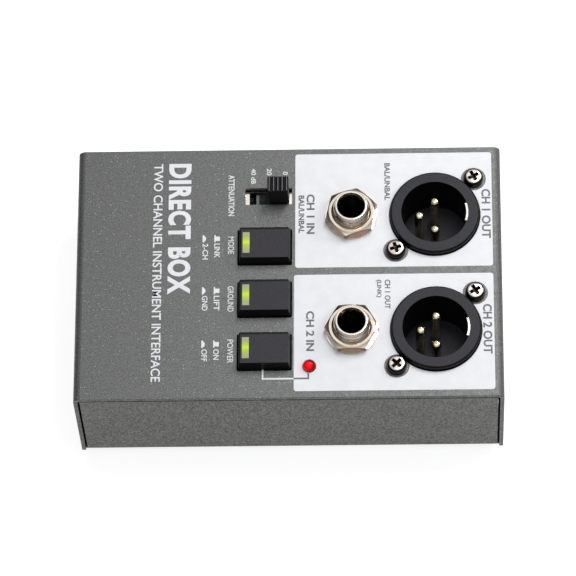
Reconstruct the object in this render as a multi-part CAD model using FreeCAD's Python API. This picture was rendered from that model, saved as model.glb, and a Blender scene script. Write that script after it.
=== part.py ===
import FreeCAD, Part
import math
import os
from FreeCAD import Vector

# A two-channel direct injection box: a folded steel case with a control panel on top.
# Millimetres. The origin is the middle of the case in plan, on the plane that the feet stand on.
# +X runs from the battery end to the output connectors, +Y from the front wall to the back, +Z up.

# ---------------------------------------------------------------- driving dimensions
# Case: a cover folded over the ends, and a base folded up at the front and back.
CASE_LENGTH = 105.0
CASE_WIDTH = 67.6
CASE_HEIGHT = 31.0
SHEET = 1.0
FOOT_HEIGHT = 2.5
COVER_BEND = 1.8
BASE_BEND = 1.5
EDGE_BREAK = 0.12
END_GAP = 0.5
FOOT_END_GAP = 0.02
WALL_FOOT_HEIGHT = 1.8
LONG_GAP = 0.4

HALF_LENGTH = CASE_LENGTH / 2
HALF_WIDTH = CASE_WIDTH / 2
BASE_UNDER = FOOT_HEIGHT
BASE_FLOOR = BASE_UNDER + SHEET
PANEL_TOP = FOOT_HEIGHT + CASE_HEIGHT
PANEL_UNDER = PANEL_TOP - SHEET
BASE_HALF_LENGTH = HALF_LENGTH - SHEET - END_GAP
BASE_FOOT_HALF_LENGTH = HALF_LENGTH - SHEET - FOOT_END_GAP

# Casing screws, the cover tabs that they thread into, and the feet.
CASE_SCREW_X = 48.0
CASE_SCREW_Y = 17.0
CASE_SCREW_R = 1.5
CASE_SCREW_LENGTH = 4.6
CASE_SCREW_HEAD_R = 2.75
TAB_WIDTH = 10.0
TAB_REACH = 8.5
TAB_LOW = BASE_FLOOR + 0.3
TAB_RELIEF = 1.0
FOOT_X = 47.2
FOOT_Y = 27.0
FOOT_R = 3.5
FOOT_EDGE = 0.6

# Channel lines, shared by the input jack and the output connector of each channel.
CHANNEL_Y = {"channel_1": 15.2, "channel_2": -15.95}
OUTPUT_X = 36.1
INPUT_X = 15.5

# Main board, on which the connectors stand.
BOARD_THICK = 1.6
BOARD_TOP = 9.5
BOARD_UNDER = BOARD_TOP - BOARD_THICK
BOARD_X0 = -12.3
BOARD_X1 = 49.0
BOARD_HALF_WIDTH = 31.5
TAIL_END = BOARD_UNDER - 1.4
PITCH = 2.54

# Output connectors: three-pin male sockets with two screw lugs on a diagonal.
OUT_RING_R = 11.05
OUT_RING_EDGE = 0.6
OUT_BORE_R = 8.25
OUT_TOP = PANEL_TOP + 1.7
OUT_FLOOR = PANEL_TOP - 12.5
OUT_FLOOR_THICK = 3.0
OUT_SKIRT_R = 9.3
OUT_PANEL_HOLE_R = 11.3
OUT_SCREW_OFFSET = 9.7
OUT_LUG_R = 3.3
OUT_LUG_HEIGHT = 8.5
PIN_SPREAD = 3.81
PIN_R = 1.2
PIN_TAIL_R = 0.8
PIN_TIP_R = 1.0
PIN_DIMPLE_R = 0.28
PIN_DIMPLE_DEPTH = 0.25
PIN_TOP = PANEL_TOP + 0.25
SHELL_CONTACT_R = 7.8
SHELL_CONTACT_THICK = 0.5
SHELL_CONTACT_ANGLE = 17.0
SHELL_CONTACT_LOW = 24.0
SHELL_CONTACT_TOP = OUT_TOP - 0.15
SHELL_GROOVE_PLAY = 0.05
SHELL_GROOVE_ANGLE = 18.0

# Pan-head screws of the output connectors, each stopped at its own angle.
PAN_SCREW_R = 1.5
PAN_HEAD_R = 2.45
PAN_HEAD_HEIGHT = 1.9
PAN_HEAD_CROWN = 0.95
PAN_SCREW_LENGTH = 8.0
PAN_HOLE_R = 1.6
PAN_TURN = {("channel_1", -1): 17.0, ("channel_1", 1): 28.0, ("channel_2", -1): 45.0, ("channel_2", 1): 30.0}

# Cross recess of every screw.
RECESS_SPAN = 3.5
RECESS_WIDTH = 0.95
RECESS_DEPTH = 1.5
RECESS_TAPER = 0.6
RECESS_FLANK = 0.8
RECESS_CORNER = 0.1
RECESS_CORE_R = 1.0
RECESS_POINT_R = 0.2
RECESS_CORE_DEPTH = 1.7

# Input jacks: quarter-inch sockets held by a nut on a threaded bushing.
JACK_BORE_R = 3.25
JACK_MOUTH_R = 3.5
JACK_MOUTH_DEPTH = 0.9
JACK_TOP = PANEL_TOP + 5.8
JACK_LIP_R = 3.95
JACK_LIP_EDGE = 0.15
JACK_LIP_HEIGHT = 1.1
JACK_CONE_HEIGHT = 0.7
JACK_THREAD_R = 4.5
JACK_THREAD_DEPTH = 0.22
JACK_THREAD_PITCH = 0.75
JACK_FLANGE_R = 5.6
JACK_FLANGE_THICK = 1.5
JACK_PANEL_HOLE_R = 4.7
JACK_WASHER_R = 6.5
JACK_WASHER_HOLE_R = 4.65
JACK_WASHER_THICK = 0.5
JACK_NUT_FLATS = 11.6
JACK_NUT_HEIGHT = 2.2
JACK_NUT_FACE_R = 5.55
JACK_NUT_SLOPE = 0.6
JACK_NUT_COUNTERSINK = 0.45
JACK_NUT_COUNTERSINK_DEPTH = 1.2
JACK_NUT_TURN = {"channel_1": 17.4, "channel_2": 0.0}
JACK_HOUSING_LENGTH = 15.0
JACK_HOUSING_WIDTH = 13.0
JACK_HOUSING_CORNER = 0.8
JACK_CHAMBER_R = 3.7
JACK_SLOT_X = 5.1
JACK_SLOT_LENGTH = 3.2
JACK_SLOT_WIDTH = 3.4
JACK_SLOT_DROP = 3.0
JACK_PLUG_HOLE_R = 4.0
SPRING_STRIP_THICK = 0.4
SPRING_STRIP_WIDTH = 3.0
SPRING_STRIP_X = 5.7
SPRING_STRIP_TOP_X = 5.1
SPRING_STRIP_TIP_X = 3.5
SPRING_STRIP_TOP = 28.5
SPRING_STRIP_BENDS = {1: 12.5, -1: 19.0}
SPRING_STRIP_SLOPE = 2.5

# Push buttons and the latching switches under them.
BUTTON_X = -5.9
BUTTON_Y = {"power": -21.65, "ground": -7.45, "mode": 6.75}
CAP_TOP = PANEL_TOP + 3.0
CAP_LENGTH = 13.0
CAP_WIDTH = 9.3
CAP_TAPER = 0.5
CAP_SKIRT_LOW = PANEL_TOP - 6.0
CAP_WALL = 1.7
CAP_ROOF = 1.2
CAP_CORNER = 0.25
CAP_EDGE = 0.2
CAP_SOCKET_WALL = 0.8
CAP_SOCKET_LOW = CAP_SKIRT_LOW + 1.0
CUTOUT_PLAY = 0.25
CUTOUT_CORNER = 0.4
WINDOW_OFFSET = -4.5
WINDOW_LENGTH = 1.7
WINDOW_WIDTH = 5.6
WINDOW_DEPTH = 4.0
SWITCH_SIZE = 8.5
SWITCH_TOP = BOARD_TOP + 12.0
SWITCH_WALL = 1.3
PLUNGER_SIZE = 3.0
PLUNGER_TOP = CAP_TOP - CAP_ROOF - 1.0
PLUNGER_FOOT = 5.4
PLUNGER_FOOT_HEIGHT = 4.0
PLUNGER_FOOT_DROP = 0.1
PLUNGER_PLAY = 0.3
COLLAR_LOW = CAP_SKIRT_LOW - 1.0
COLLAR_THICK = 0.8
COLLAR_R = 3.05
COIL_R = 2.75
COIL_WIRE_R = 0.22
COIL_WIRE_SIDES = 8
COIL_TURNS = 4
TERMINAL_ROW = 2.5
TERMINAL_SIZE = 0.5

# Attenuation slide switch: a nickel can under a slot in the panel, on its own riser board.
SLOT_X = -5.0
SLOT_Y = 20.8
SLOT_LENGTH = 11.6
SLOT_WIDTH = 4.55
SLOT_CORNER = 0.3
SLIDE_TRAVEL = 5.0
KNOB_LENGTH = 5.2
KNOB_WIDTH = 4.1
KNOB_TOP = PANEL_TOP + 7.2
KNOB_X = SLOT_X + SLIDE_TRAVEL / 2
KNOB_CORNER = 0.3
KNOB_RIBS = 5
KNOB_RIB_R = 0.42
KNOB_RIB_MARGIN = 0.05
KNOB_STEM_LENGTH = 4.2
KNOB_STEM_WIDTH = 3.2
FRAME_TOP = PANEL_TOP - 1.65
FRAME_LENGTH = 18.0
FRAME_WIDTH = 8.0
FRAME_SHEET = 0.5
FRAME_LOW = FRAME_TOP - 6.0
FRAME_EDGE = 0.45
FRAME_OPENING_X = -4.825
FRAME_OPENING_LENGTH = 9.95
FRAME_OPENING_WIDTH = 3.8
WAFER_PLAY = 0.05
WAFER_THICK = 1.4
STRIP_LENGTH = 2.6
STRIP_WIDTH = 1.0
STRIP_THICK = 0.5
STRIP_SPACING = 3.6
STRIP_ROW = 1.9
CARRIER_TOP = FRAME_TOP - FRAME_SHEET - 0.2
CARRIER_THICK = 0.9
CARRIER_BEHIND = 5.7
CARRIER_WIDTH = 6.0
SHOE_LENGTH = 7.0
SHOE_WIDTH = 5.2
SHOE_DEPTH = 2.4
MARK_LENGTH = 0.7
MARK_WIDTH = 2.8
MARK_RISE = 0.12
RISER_WIDTH = 9.6
RISER_ROW = 4.35
RISER_PINS = 5
RISER_PIN_SIZE = 0.64
RISER_PIN_PROUD = 0.6

# Power lamp on its spacer.
LAMP_X = 5.1
LAMP_Y = -25.45
LAMP_R = 1.67
LAMP_TOP = PANEL_TOP + 1.75
LAMP_LOW = PANEL_TOP - 4.0
LAMP_HOLE_R = 1.8
LAMP_RIM_R = 2.1
LAMP_RIM_THICK = 1.0
LAMP_LEAD_SIZE = 0.5
SPACER_R = 2.4
SPACER_CHANNEL_R = 0.45
SPACER_GAP = 0.1

# Battery compartment, opened from below by a hinged door.
BAY_X = -28.0
BAY_LENGTH = 27.0
BAY_HALF_WIDTH = 27.3
BAY_WALL = 1.1
BAY_ROOF = 21.8
BAY_LIP = 0.7
BAY_LIP_CORNER = 1.5
BAY_UNDER = BASE_UNDER - 1.0
LEAD_NOTCH = (20.4, 23.6, 10.6, 15.4)
DOOR_LENGTH = 26.6
DOOR_THICK = 1.5
DOOR_END = BAY_HALF_WIDTH - 0.2
HINGE_R = 0.85
HINGE_Y = -BAY_HALF_WIDTH + HINGE_R + 0.15
HINGE_Z = BAY_UNDER + HINGE_R
HINGE_PIN_R = 0.7
HINGE_PIN_PLAY = 0.05
HINGE_HOLE_DEPTH = 0.8
TONGUE_LENGTH = 8.0
TONGUE_THICK = 1.0
TONGUE_TOP = BAY_UNDER + 4.0
CATCH_HEIGHT = 1.0
CATCH_REACH = 0.5
TONGUE_PLAY = 0.3
LATCH_NOTCH_DEPTH = 0.7
GRIP_GROOVES = 5
GRIP_PITCH = 1.2
GRIP_LENGTH = 10.0
GRIP_WIDTH = 0.6
GRIP_DEPTH = 0.4
GRIP_INSET = 4.0

# Nine-volt battery on its side, its snap connector and the two leads.
BATTERY_LENGTH = 45.8
BATTERY_WIDTH = 26.5
BATTERY_HEIGHT = 17.5
BATTERY_EDGE = 1.5
BATTERY_Y0 = -26.8
BATTERY_Y1 = BATTERY_Y0 + BATTERY_LENGTH
BATTERY_Z0 = 3.8
BATTERY_MID_Z = BATTERY_Z0 + BATTERY_HEIGHT / 2
POLE_SPREAD = 12.7 / 2
POLE_HEIGHT = 2.7
STUD_R = 2.8
CROWN_R = 4.2
CROWN_HOLE_R = 3.5
CROWN_FLOOR = 0.4
SNAP_LENGTH = 23.0
SNAP_HEIGHT = 12.0
SNAP_THICK = 5.3
SNAP_GAP = 0.2
SNAP_EDGE = 1.0
SNAP_POCKET_R = 4.6
SNAP_POCKET_PLAY = 0.3
LEAD_R = 0.6
LEAD_TURN_BACK = 1.6
LEAD_DRIFT = 0.6
ARC_SHARE = 0.45
# Each lead's height at the snap connector and the place along X where it enters the board.
RED_ROUTE = (13.9, -6.2)
BLACK_ROUTE = (12.1, -8.9)

# Board components.
CHIP_PLACES = ((30.5, -0.35), (19.0, -0.35), (7.0, -0.35))
CHIP_LENGTH = 9.8
CHIP_WIDTH = 6.4
CHIP_HEIGHT = 3.3
CHIP_STAND = 0.5
CHIP_NOTCH_R = 0.8
CHIP_LEG_SIZE = 0.5
CHIP_LEG_TOP = BOARD_TOP + 2.2
ELECTROLYTIC_PLACES = (
    (4.0, 8.0), (4.0, 18.0), (11.0, 27.5), (19.0, 27.5), (11.0, -28.0), (19.0, -28.0), (44.5, -0.35),
)
ELECTROLYTIC_R = 2.5
ELECTROLYTIC_TOP = BOARD_TOP + 11.0
FILM_PLACES = (
    (4.0, -12.0), (4.0, -17.0), (-5.0, 29.0), (27.5, 29.0), (27.5, -29.0), (36.5, -30.0),
)
FILM_LENGTH = 7.2
FILM_WIDTH = 2.5
FILM_HEIGHT = 6.5
RESISTOR_COLUMNS = (4.0, 11.0, 18.0, 25.0)
RESISTOR_ROWS = (-5.2, 4.6)
RESISTOR_R = 0.9
RESISTOR_WAIST_R = 0.76
RESISTOR_LENGTH = 3.6
RESISTOR_END = 0.9

CHANNELS = ("channel_1", "channel_2")
BUTTONS = ("power", "ground", "mode")
ORIGIN = Vector(0, 0, 0)
X_AXIS = Vector(1, 0, 0)
Y_AXIS = Vector(0, 1, 0)
Z_AXIS = Vector(0, 0, 1)
OVERSHOOT = 1.0
NEAR = 1e-4


# ---------------------------------------------------------------- shape helpers
def block(x0, x1, y0, y1, z0, z1):
    """A box between two corners."""
    return Part.makeBox(x1 - x0, y1 - y0, z1 - z0, Vector(x0, y0, z0))


def centred_block(x, y, length, width, z0, z1):
    """A box centred on x, y in plan."""
    return block(x - length / 2, x + length / 2, y - width / 2, y + width / 2, z0, z1)


def rod(x, y, z0, z1, radius):
    """An upright cylinder."""
    return Part.makeCylinder(radius, z1 - z0, Vector(x, y, z0), Z_AXIS)


def rod_along_x(x0, x1, y, z, radius):
    """A cylinder lying along X."""
    return Part.makeCylinder(radius, x1 - x0, Vector(x0, y, z), X_AXIS)


def rod_along_y(x, y0, y1, z, radius):
    """A cylinder lying along Y."""
    return Part.makeCylinder(radius, y1 - y0, Vector(x, y0, z), Y_AXIS)


def rounded_outline(x, y, length, width, corner, z):
    """A closed wire: a rectangle in plan with round corners."""
    arcs = []
    for sx, sy, start in ((1, 1, 0), (-1, 1, 90), (-1, -1, 180), (1, -1, 270)):
        centre = Vector(x + sx * (length / 2 - corner), y + sy * (width / 2 - corner), z)
        arcs.append(Part.makeCircle(corner, centre, Z_AXIS, start, start + 90))
    edges = []
    for here, after in zip(arcs, arcs[1:] + arcs[:1]):
        edges.append(here)
        edges.append(Part.makeLine(here.Vertexes[-1].Point, after.Vertexes[0].Point))
    return Part.Wire(edges)


def rounded_block(x, y, length, width, corner, z0, z1):
    """A box with round upright corners."""
    face = Part.Face(rounded_outline(x, y, length, width, corner, z0))
    return face.extrude(Vector(0, 0, z1 - z0))


def tapered_block(low_outline, high_outline):
    """A solid between two outlines at different heights."""
    return Part.makeLoft([low_outline, high_outline], True, True)


def turned(x, y, profile):
    """A solid of revolution about the upright line through x, y; profile is (radius, z) points."""
    points = [Vector(x + r, y, z) for r, z in profile]
    face = Part.Face(Part.makePolygon(points + points[:1]))
    return face.revolve(Vector(x, y, 0), Z_AXIS, 360)


def edges_at_height(shape, z):
    """The edges that lie flat at height z."""
    return [e for e in shape.Edges if abs(e.BoundBox.ZMin - z) < NEAR and abs(e.BoundBox.ZMax - z) < NEAR]


def edges_along_y_at_height(shape, z):
    """The straight edges along Y at height z."""
    return [e for e in edges_at_height(shape, z) if e.BoundBox.XLength < NEAR]


def fuse_all(shapes):
    """One solid from overlapping or touching shapes."""
    return shapes[0].fuse(shapes[1:]).removeSplitter()


def group(shapes):
    """Separate solids in one node."""
    return Part.makeCompound(shapes)


def mirrored_places(x, y):
    """The four places at plus and minus x and y."""
    return [(sx * x, sy * y) for sx in (-1, 1) for sy in (-1, 1)]


def u_channel(half, half_run, web_z, free_z, bend):
    """A folded sheet: a web with a wall at X = -half and +half, running along Y, with broken outer edges."""
    inward = math.copysign(SHEET, free_z - web_z)
    web_inner = web_z + inward
    outer = block(-half, half, -half_run, half_run, min(web_z, free_z), max(web_z, free_z))
    outer = outer.makeFillet(bend, edges_along_y_at_height(outer, web_z))
    inner_half = half - SHEET
    inner = block(
        -inner_half, inner_half, -half_run, half_run, min(web_inner, free_z), max(web_inner, free_z)
    )
    inner = inner.makeFillet(bend - SHEET, edges_along_y_at_height(inner, web_inner))
    sheet = outer.cut(inner)
    rim = []
    for edge in sheet.Edges:
        middle = edge.valueAt((edge.FirstParameter + edge.LastParameter) / 2)
        at_end = edge.BoundBox.YLength < NEAR
        on_inner_side = abs(middle.x) < half - SHEET / 2 and abs(middle.z - web_z) > SHEET / 2
        on_free_edge = abs(middle.z - free_z) < NEAR
        if at_end and not on_inner_side and not on_free_edge:
            rim.append(edge)
    return sheet.makeFillet(EDGE_BREAK, rim)


def wire_along(points, radius):
    """A round wire: straight runs through the points, joined by the largest tangent arcs that fit."""
    points = [Vector(*p) for p in points]
    edges = []
    start = points[0]
    for before, corner, after in zip(points, points[1:], points[2:]):
        back = (before - corner).normalize()
        ahead = (after - corner).normalize()
        half_turn = (math.pi - back.getAngle(ahead)) / 2
        reach = ARC_SHARE * min((before - corner).Length, (after - corner).Length)
        arc_radius = reach / math.tan(half_turn)
        print("lead bend radius", round(arc_radius, 2))
        leave = corner + back * reach
        join = corner + ahead * reach
        inside = (back + ahead).normalize()
        crest = corner + inside * (arc_radius / math.cos(half_turn) - arc_radius)
        edges.append(Part.LineSegment(start, leave).toShape())
        edges.append(Part.Arc(leave, crest, join).toShape())
        start = join
    edges.append(Part.LineSegment(start, points[-1]).toShape())
    path = Part.Wire(edges)
    section = Part.Wire(Part.makeCircle(radius, points[0], points[1] - points[0]))
    solid = path.makePipeShell([section], True, False)
    expected = math.pi * radius ** 2 * path.Length
    print("lead volume", round(solid.Volume, 3), "expected", round(expected, 3))
    return solid


def cross_recess(x, y, mouth_z, down, turn):
    """The tapered cross of a screwdriver recess; down is -1 when it sinks towards -Z, +1 towards +Z."""
    floor_z = mouth_z + down * RECESS_DEPTH
    outside_z = mouth_z - down * OVERSHOOT
    wide = rounded_outline(x, y, RECESS_SPAN, RECESS_WIDTH, RECESS_CORNER, outside_z)
    narrow_span = RECESS_SPAN * RECESS_TAPER
    narrow_width = RECESS_WIDTH * RECESS_FLANK
    narrow = rounded_outline(x, y, narrow_span, narrow_width, RECESS_CORNER, floor_z)
    blade = tapered_block(wide, narrow)
    other_blade = blade.copy()
    other_blade.rotate(Vector(x, y, 0), Z_AXIS, 90)
    point = Vector(x, y, mouth_z + down * RECESS_CORE_DEPTH)
    core_height = RECESS_CORE_DEPTH + OVERSHOOT
    core = Part.makeCone(RECESS_POINT_R, RECESS_CORE_R, core_height, point, Z_AXIS * -down)
    recess = fuse_all([blade, other_blade, core])
    recess.rotate(Vector(x, y, 0), Z_AXIS, turn)
    return recess


# ---------------------------------------------------------------- casing
def cover_tab(side, y):
    """The bent tab at the foot of an end flange, which a casing screw threads into."""
    low = TAB_LOW
    high = low + 2 * COVER_BEND
    outer_x = -HALF_LENGTH
    tab = block(outer_x, outer_x + TAB_REACH, y - TAB_WIDTH / 2, y + TAB_WIDTH / 2, low, high)
    outer_corner = [e for e in edges_along_y_at_height(tab, low) if e.BoundBox.XMax < outer_x + NEAR]
    tab = tab.makeFillet(COVER_BEND, outer_corner)
    inner_x = outer_x + SHEET
    hollow = block(inner_x, 0, y - TAB_WIDTH, y + TAB_WIDTH, low + SHEET, high + OVERSHOOT)
    floor_edges = edges_along_y_at_height(hollow, low + SHEET)
    inner_corner = [e for e in floor_edges if e.BoundBox.XMax < inner_x + NEAR]
    tab = tab.cut(hollow.makeFillet(COVER_BEND - SHEET, inner_corner))
    return tab.mirror(ORIGIN, X_AXIS) if side > 0 else tab


def panel_cutouts():
    """Every hole through the panel."""
    span = (PANEL_UNDER - OVERSHOOT, PANEL_TOP + OVERSHOOT)
    holes = [
        rounded_block(SLOT_X, SLOT_Y, SLOT_LENGTH, SLOT_WIDTH, SLOT_CORNER, *span),
        rod(LAMP_X, LAMP_Y, *span, LAMP_HOLE_R),
    ]
    for channel in CHANNELS:
        y = CHANNEL_Y[channel]
        holes.append(rod(OUTPUT_X, y, *span, OUT_PANEL_HOLE_R))
        holes.append(rod(INPUT_X, y, *span, JACK_PANEL_HOLE_R))
        for x_screw, y_screw in output_screw_places(y):
            holes.append(rod(x_screw, y_screw, *span, PAN_HOLE_R))
    length = CAP_LENGTH + 2 * CUTOUT_PLAY
    width = CAP_WIDTH + 2 * CUTOUT_PLAY
    for button in BUTTONS:
        holes.append(rounded_block(BUTTON_X, BUTTON_Y[button], length, width, CUTOUT_CORNER, *span))
    return holes


def top_cover():
    """The panel with its two end flanges, the screw tabs at their feet and every panel cutout."""
    cover = u_channel(HALF_LENGTH, HALF_WIDTH, PANEL_TOP, BASE_UNDER, COVER_BEND)
    reliefs = []
    tabs = []
    tapped_holes = []
    for x, y in mirrored_places(CASE_SCREW_X, CASE_SCREW_Y):
        side = math.copysign(1, x)
        relief_width = TAB_WIDTH + 2 * TAB_RELIEF
        relief_top = TAB_LOW + 2 * COVER_BEND
        reliefs.append(centred_block(side * HALF_LENGTH, y, 4 * SHEET, relief_width, 0, relief_top))
        tabs.append(cover_tab(side, y))
        tapped_holes.append(rod(x, y, TAB_LOW - OVERSHOOT, TAB_LOW + SHEET + OVERSHOOT, CASE_SCREW_R))
    cover = cover.cut(reliefs).fuse(tabs).removeSplitter()
    return cover.cut(tapped_holes + panel_cutouts())


def base_shell():
    """The floor and its two long walls, a little longer at their foot, cut for the bay and the screws."""
    wall_top = PANEL_UNDER - LONG_GAP
    foot_top = BASE_UNDER + WALL_FOOT_HEIGHT
    walls = u_channel(HALF_WIDTH, BASE_HALF_LENGTH, BASE_UNDER, wall_top, BASE_BEND)
    foot = u_channel(HALF_WIDTH, BASE_FOOT_HALF_LENGTH, BASE_UNDER, foot_top, BASE_BEND)
    shell = walls.fuse(foot).removeSplitter()
    shell.rotate(ORIGIN, Z_AXIS, 90)
    length = BAY_LENGTH + 2 * BAY_WALL
    width = 2 * (BAY_HALF_WIDTH + BAY_WALL)
    cuts = [centred_block(BAY_X, 0, length, width, 0, BASE_FLOOR + OVERSHOOT)]
    for x, y in mirrored_places(CASE_SCREW_X, CASE_SCREW_Y):
        cuts.append(casing_screw_outline(x, y, BASE_FLOOR + OVERSHOOT))
    return shell.cut(cuts)


def casing_screw_outline(x, y, top):
    """A countersunk screw's outer shape, head down."""
    cone_top = BASE_UNDER + CASE_SCREW_HEAD_R - CASE_SCREW_R
    return turned(x, y, [
        (0, BASE_UNDER), (CASE_SCREW_HEAD_R, BASE_UNDER), (CASE_SCREW_R, cone_top),
        (CASE_SCREW_R, top), (0, top),
    ])


def casing_screws():
    """Four countersunk screws that hold the base to the cover's tabs."""
    screws = []
    for x, y in mirrored_places(CASE_SCREW_X, CASE_SCREW_Y):
        screw = casing_screw_outline(x, y, BASE_UNDER + CASE_SCREW_LENGTH)
        screws.append(screw.cut(cross_recess(x, y, BASE_UNDER, 1, x + y)))
    return group(screws)


def rubber_feet():
    """Four round feet with a soft lower edge."""
    feet = []
    for x, y in mirrored_places(FOOT_X, FOOT_Y):
        foot = rod(x, y, 0, FOOT_HEIGHT, FOOT_R)
        feet.append(foot.makeFillet(FOOT_EDGE, edges_at_height(foot, 0)))
    return group(feet)


# ---------------------------------------------------------------- battery compartment
def battery_box():
    """The compartment: open below, lipped outside the base, pierced for the hinge, latch and leads."""
    length = BAY_LENGTH + 2 * BAY_WALL
    half_width = BAY_HALF_WIDTH + BAY_WALL
    shell = centred_block(BAY_X, 0, length, 2 * half_width, BAY_UNDER, BAY_ROOF + BAY_WALL)
    lip_width = 2 * (half_width + BAY_LIP)
    lip = rounded_block(BAY_X, 0, length + 2 * BAY_LIP, lip_width, BAY_LIP_CORNER, BAY_UNDER, BASE_UNDER)
    inside = centred_block(BAY_X, 0, BAY_LENGTH, 2 * BAY_HALF_WIDTH, 0, BAY_ROOF)
    hole_half = BAY_LENGTH / 2 + HINGE_HOLE_DEPTH
    hinge_hole = rod_along_x(
        BAY_X - hole_half, BAY_X + hole_half, HINGE_Y, HINGE_Z, HINGE_PIN_R + HINGE_PIN_PLAY
    )
    wall_x = BAY_X + BAY_LENGTH / 2
    lead_notch = block(wall_x - OVERSHOOT, wall_x + BAY_WALL + OVERSHOOT, *LEAD_NOTCH)
    notch_half = TONGUE_LENGTH / 2 + TONGUE_PLAY
    notch_end = BAY_HALF_WIDTH + LATCH_NOTCH_DEPTH
    notch_top = TONGUE_TOP + 2 * TONGUE_PLAY
    latch_notch = block(BAY_X - notch_half, BAY_X + notch_half, 0, notch_end, 0, notch_top)
    return fuse_all([shell, lip]).cut([inside, hinge_hole, lead_notch, latch_notch])


def battery_door():
    """A flat door on two stub pins, with a latch tongue at its free end and a grooved thumb rest."""
    half = DOOR_LENGTH / 2
    plate = block(BAY_X - half, BAY_X + half, HINGE_Y, DOOR_END, BAY_UNDER, BAY_UNDER + DOOR_THICK)
    barrel = rod_along_x(BAY_X - half, BAY_X + half, HINGE_Y, HINGE_Z, HINGE_R)
    pin_half = BAY_LENGTH / 2 + HINGE_HOLE_DEPTH - HINGE_PIN_PLAY
    pins = rod_along_x(BAY_X - pin_half, BAY_X + pin_half, HINGE_Y, HINGE_Z, HINGE_PIN_R)
    tongue_y = DOOR_END - TONGUE_THICK / 2
    tongue = centred_block(BAY_X, tongue_y, TONGUE_LENGTH, TONGUE_THICK, BAY_UNDER, TONGUE_TOP)
    catch_low = TONGUE_TOP - CATCH_HEIGHT
    catch = centred_block(BAY_X, DOOR_END, TONGUE_LENGTH, 2 * CATCH_REACH, catch_low, TONGUE_TOP)
    grooves = []
    for step in range(GRIP_GROOVES):
        y = DOOR_END - GRIP_INSET - GRIP_PITCH * step
        groove_low = BAY_UNDER - OVERSHOOT
        grooves.append(centred_block(BAY_X, y, GRIP_LENGTH, GRIP_WIDTH, groove_low, BAY_UNDER + GRIP_DEPTH))
    return fuse_all([plate, barrel, pins, tongue, catch]).cut(grooves)


def battery():
    """A nine-volt block battery, lying on its side with its terminals towards +Y."""
    half = BATTERY_WIDTH / 2
    top = BATTERY_Z0 + BATTERY_HEIGHT
    body = block(BAY_X - half, BAY_X + half, BATTERY_Y0, BATTERY_Y1, BATTERY_Z0, top)
    long_edges = [e for e in body.Edges if e.BoundBox.YLength > BATTERY_LENGTH / 2]
    return body.makeFillet(BATTERY_EDGE, long_edges)


def battery_terminals():
    """The small round terminal and the wider socket terminal."""
    end = BATTERY_Y1 + POLE_HEIGHT
    stud = rod_along_y(BAY_X - POLE_SPREAD, BATTERY_Y1, end, BATTERY_MID_Z, STUD_R)
    crown_x = BAY_X + POLE_SPREAD
    crown = rod_along_y(crown_x, BATTERY_Y1, end, BATTERY_MID_Z, CROWN_R)
    hole = rod_along_y(crown_x, BATTERY_Y1 + CROWN_FLOOR, end, BATTERY_MID_Z, CROWN_HOLE_R)
    return group([stud, crown.cut(hole)])


def snap_connector():
    """The moulded cap that clips over both battery terminals."""
    y0 = BATTERY_Y1 + SNAP_GAP
    y1 = y0 + SNAP_THICK
    half = SNAP_LENGTH / 2
    low = BATTERY_MID_Z - SNAP_HEIGHT / 2
    body = block(BAY_X - half, BAY_X + half, y0, y1, low, low + SNAP_HEIGHT)
    outer_edges = [e for e in body.Edges if e.BoundBox.YMin > y1 - NEAR]
    body = body.makeFillet(SNAP_EDGE, outer_edges)
    pocket_end = BATTERY_Y1 + POLE_HEIGHT + SNAP_POCKET_PLAY
    pockets = []
    for side in (-1, 1):
        x = BAY_X + side * POLE_SPREAD
        pockets.append(rod_along_y(x, BATTERY_Y1, pocket_end, BATTERY_MID_Z, SNAP_POCKET_R))
    return body.cut(pockets)


def battery_lead(exit_z, board_x):
    """One lead: out of the snap connector, through the compartment's wall and down into the board."""
    y = BATTERY_Y1 + SNAP_GAP + SNAP_THICK / 2
    start = (BAY_X + SNAP_LENGTH / 2, y, exit_z)
    corner = (board_x - LEAD_TURN_BACK, y, exit_z)
    end = (board_x, y - LEAD_DRIFT, BOARD_UNDER)
    return wire_along([start, corner, end], LEAD_R)


# ---------------------------------------------------------------- output connectors
def output_screw_places(y):
    """Centres of a connector's two screws, on the diagonal from -X -Y to +X +Y."""
    return [(OUTPUT_X + side * OUT_SCREW_OFFSET, y + side * OUT_SCREW_OFFSET) for side in (-1, 1)]


def output_pin_places(y):
    """Centres of a connector's three contact pins."""
    return [(OUTPUT_X, y + PIN_SPREAD), (OUTPUT_X, y - PIN_SPREAD), (OUTPUT_X - PIN_SPREAD, y)]


def wall_strip(y, inner, outer, half_angle, top):
    """An upright strip of a tube's wall, on the +X side of a socket."""
    centre = Vector(OUTPUT_X, y, SHELL_CONTACT_LOW)
    near_arc = Part.makeCircle(inner, centre, Z_AXIS, -half_angle, half_angle)
    far_arc = Part.makeCircle(outer, centre, Z_AXIS, -half_angle, half_angle)
    start = Part.makeLine(near_arc.Vertexes[0].Point, far_arc.Vertexes[0].Point)
    end = Part.makeLine(near_arc.Vertexes[1].Point, far_arc.Vertexes[1].Point)
    face = Part.Face(Part.Wire([near_arc, end, far_arc, start]))
    return face.extrude(Vector(0, 0, top - SHELL_CONTACT_LOW))


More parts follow.
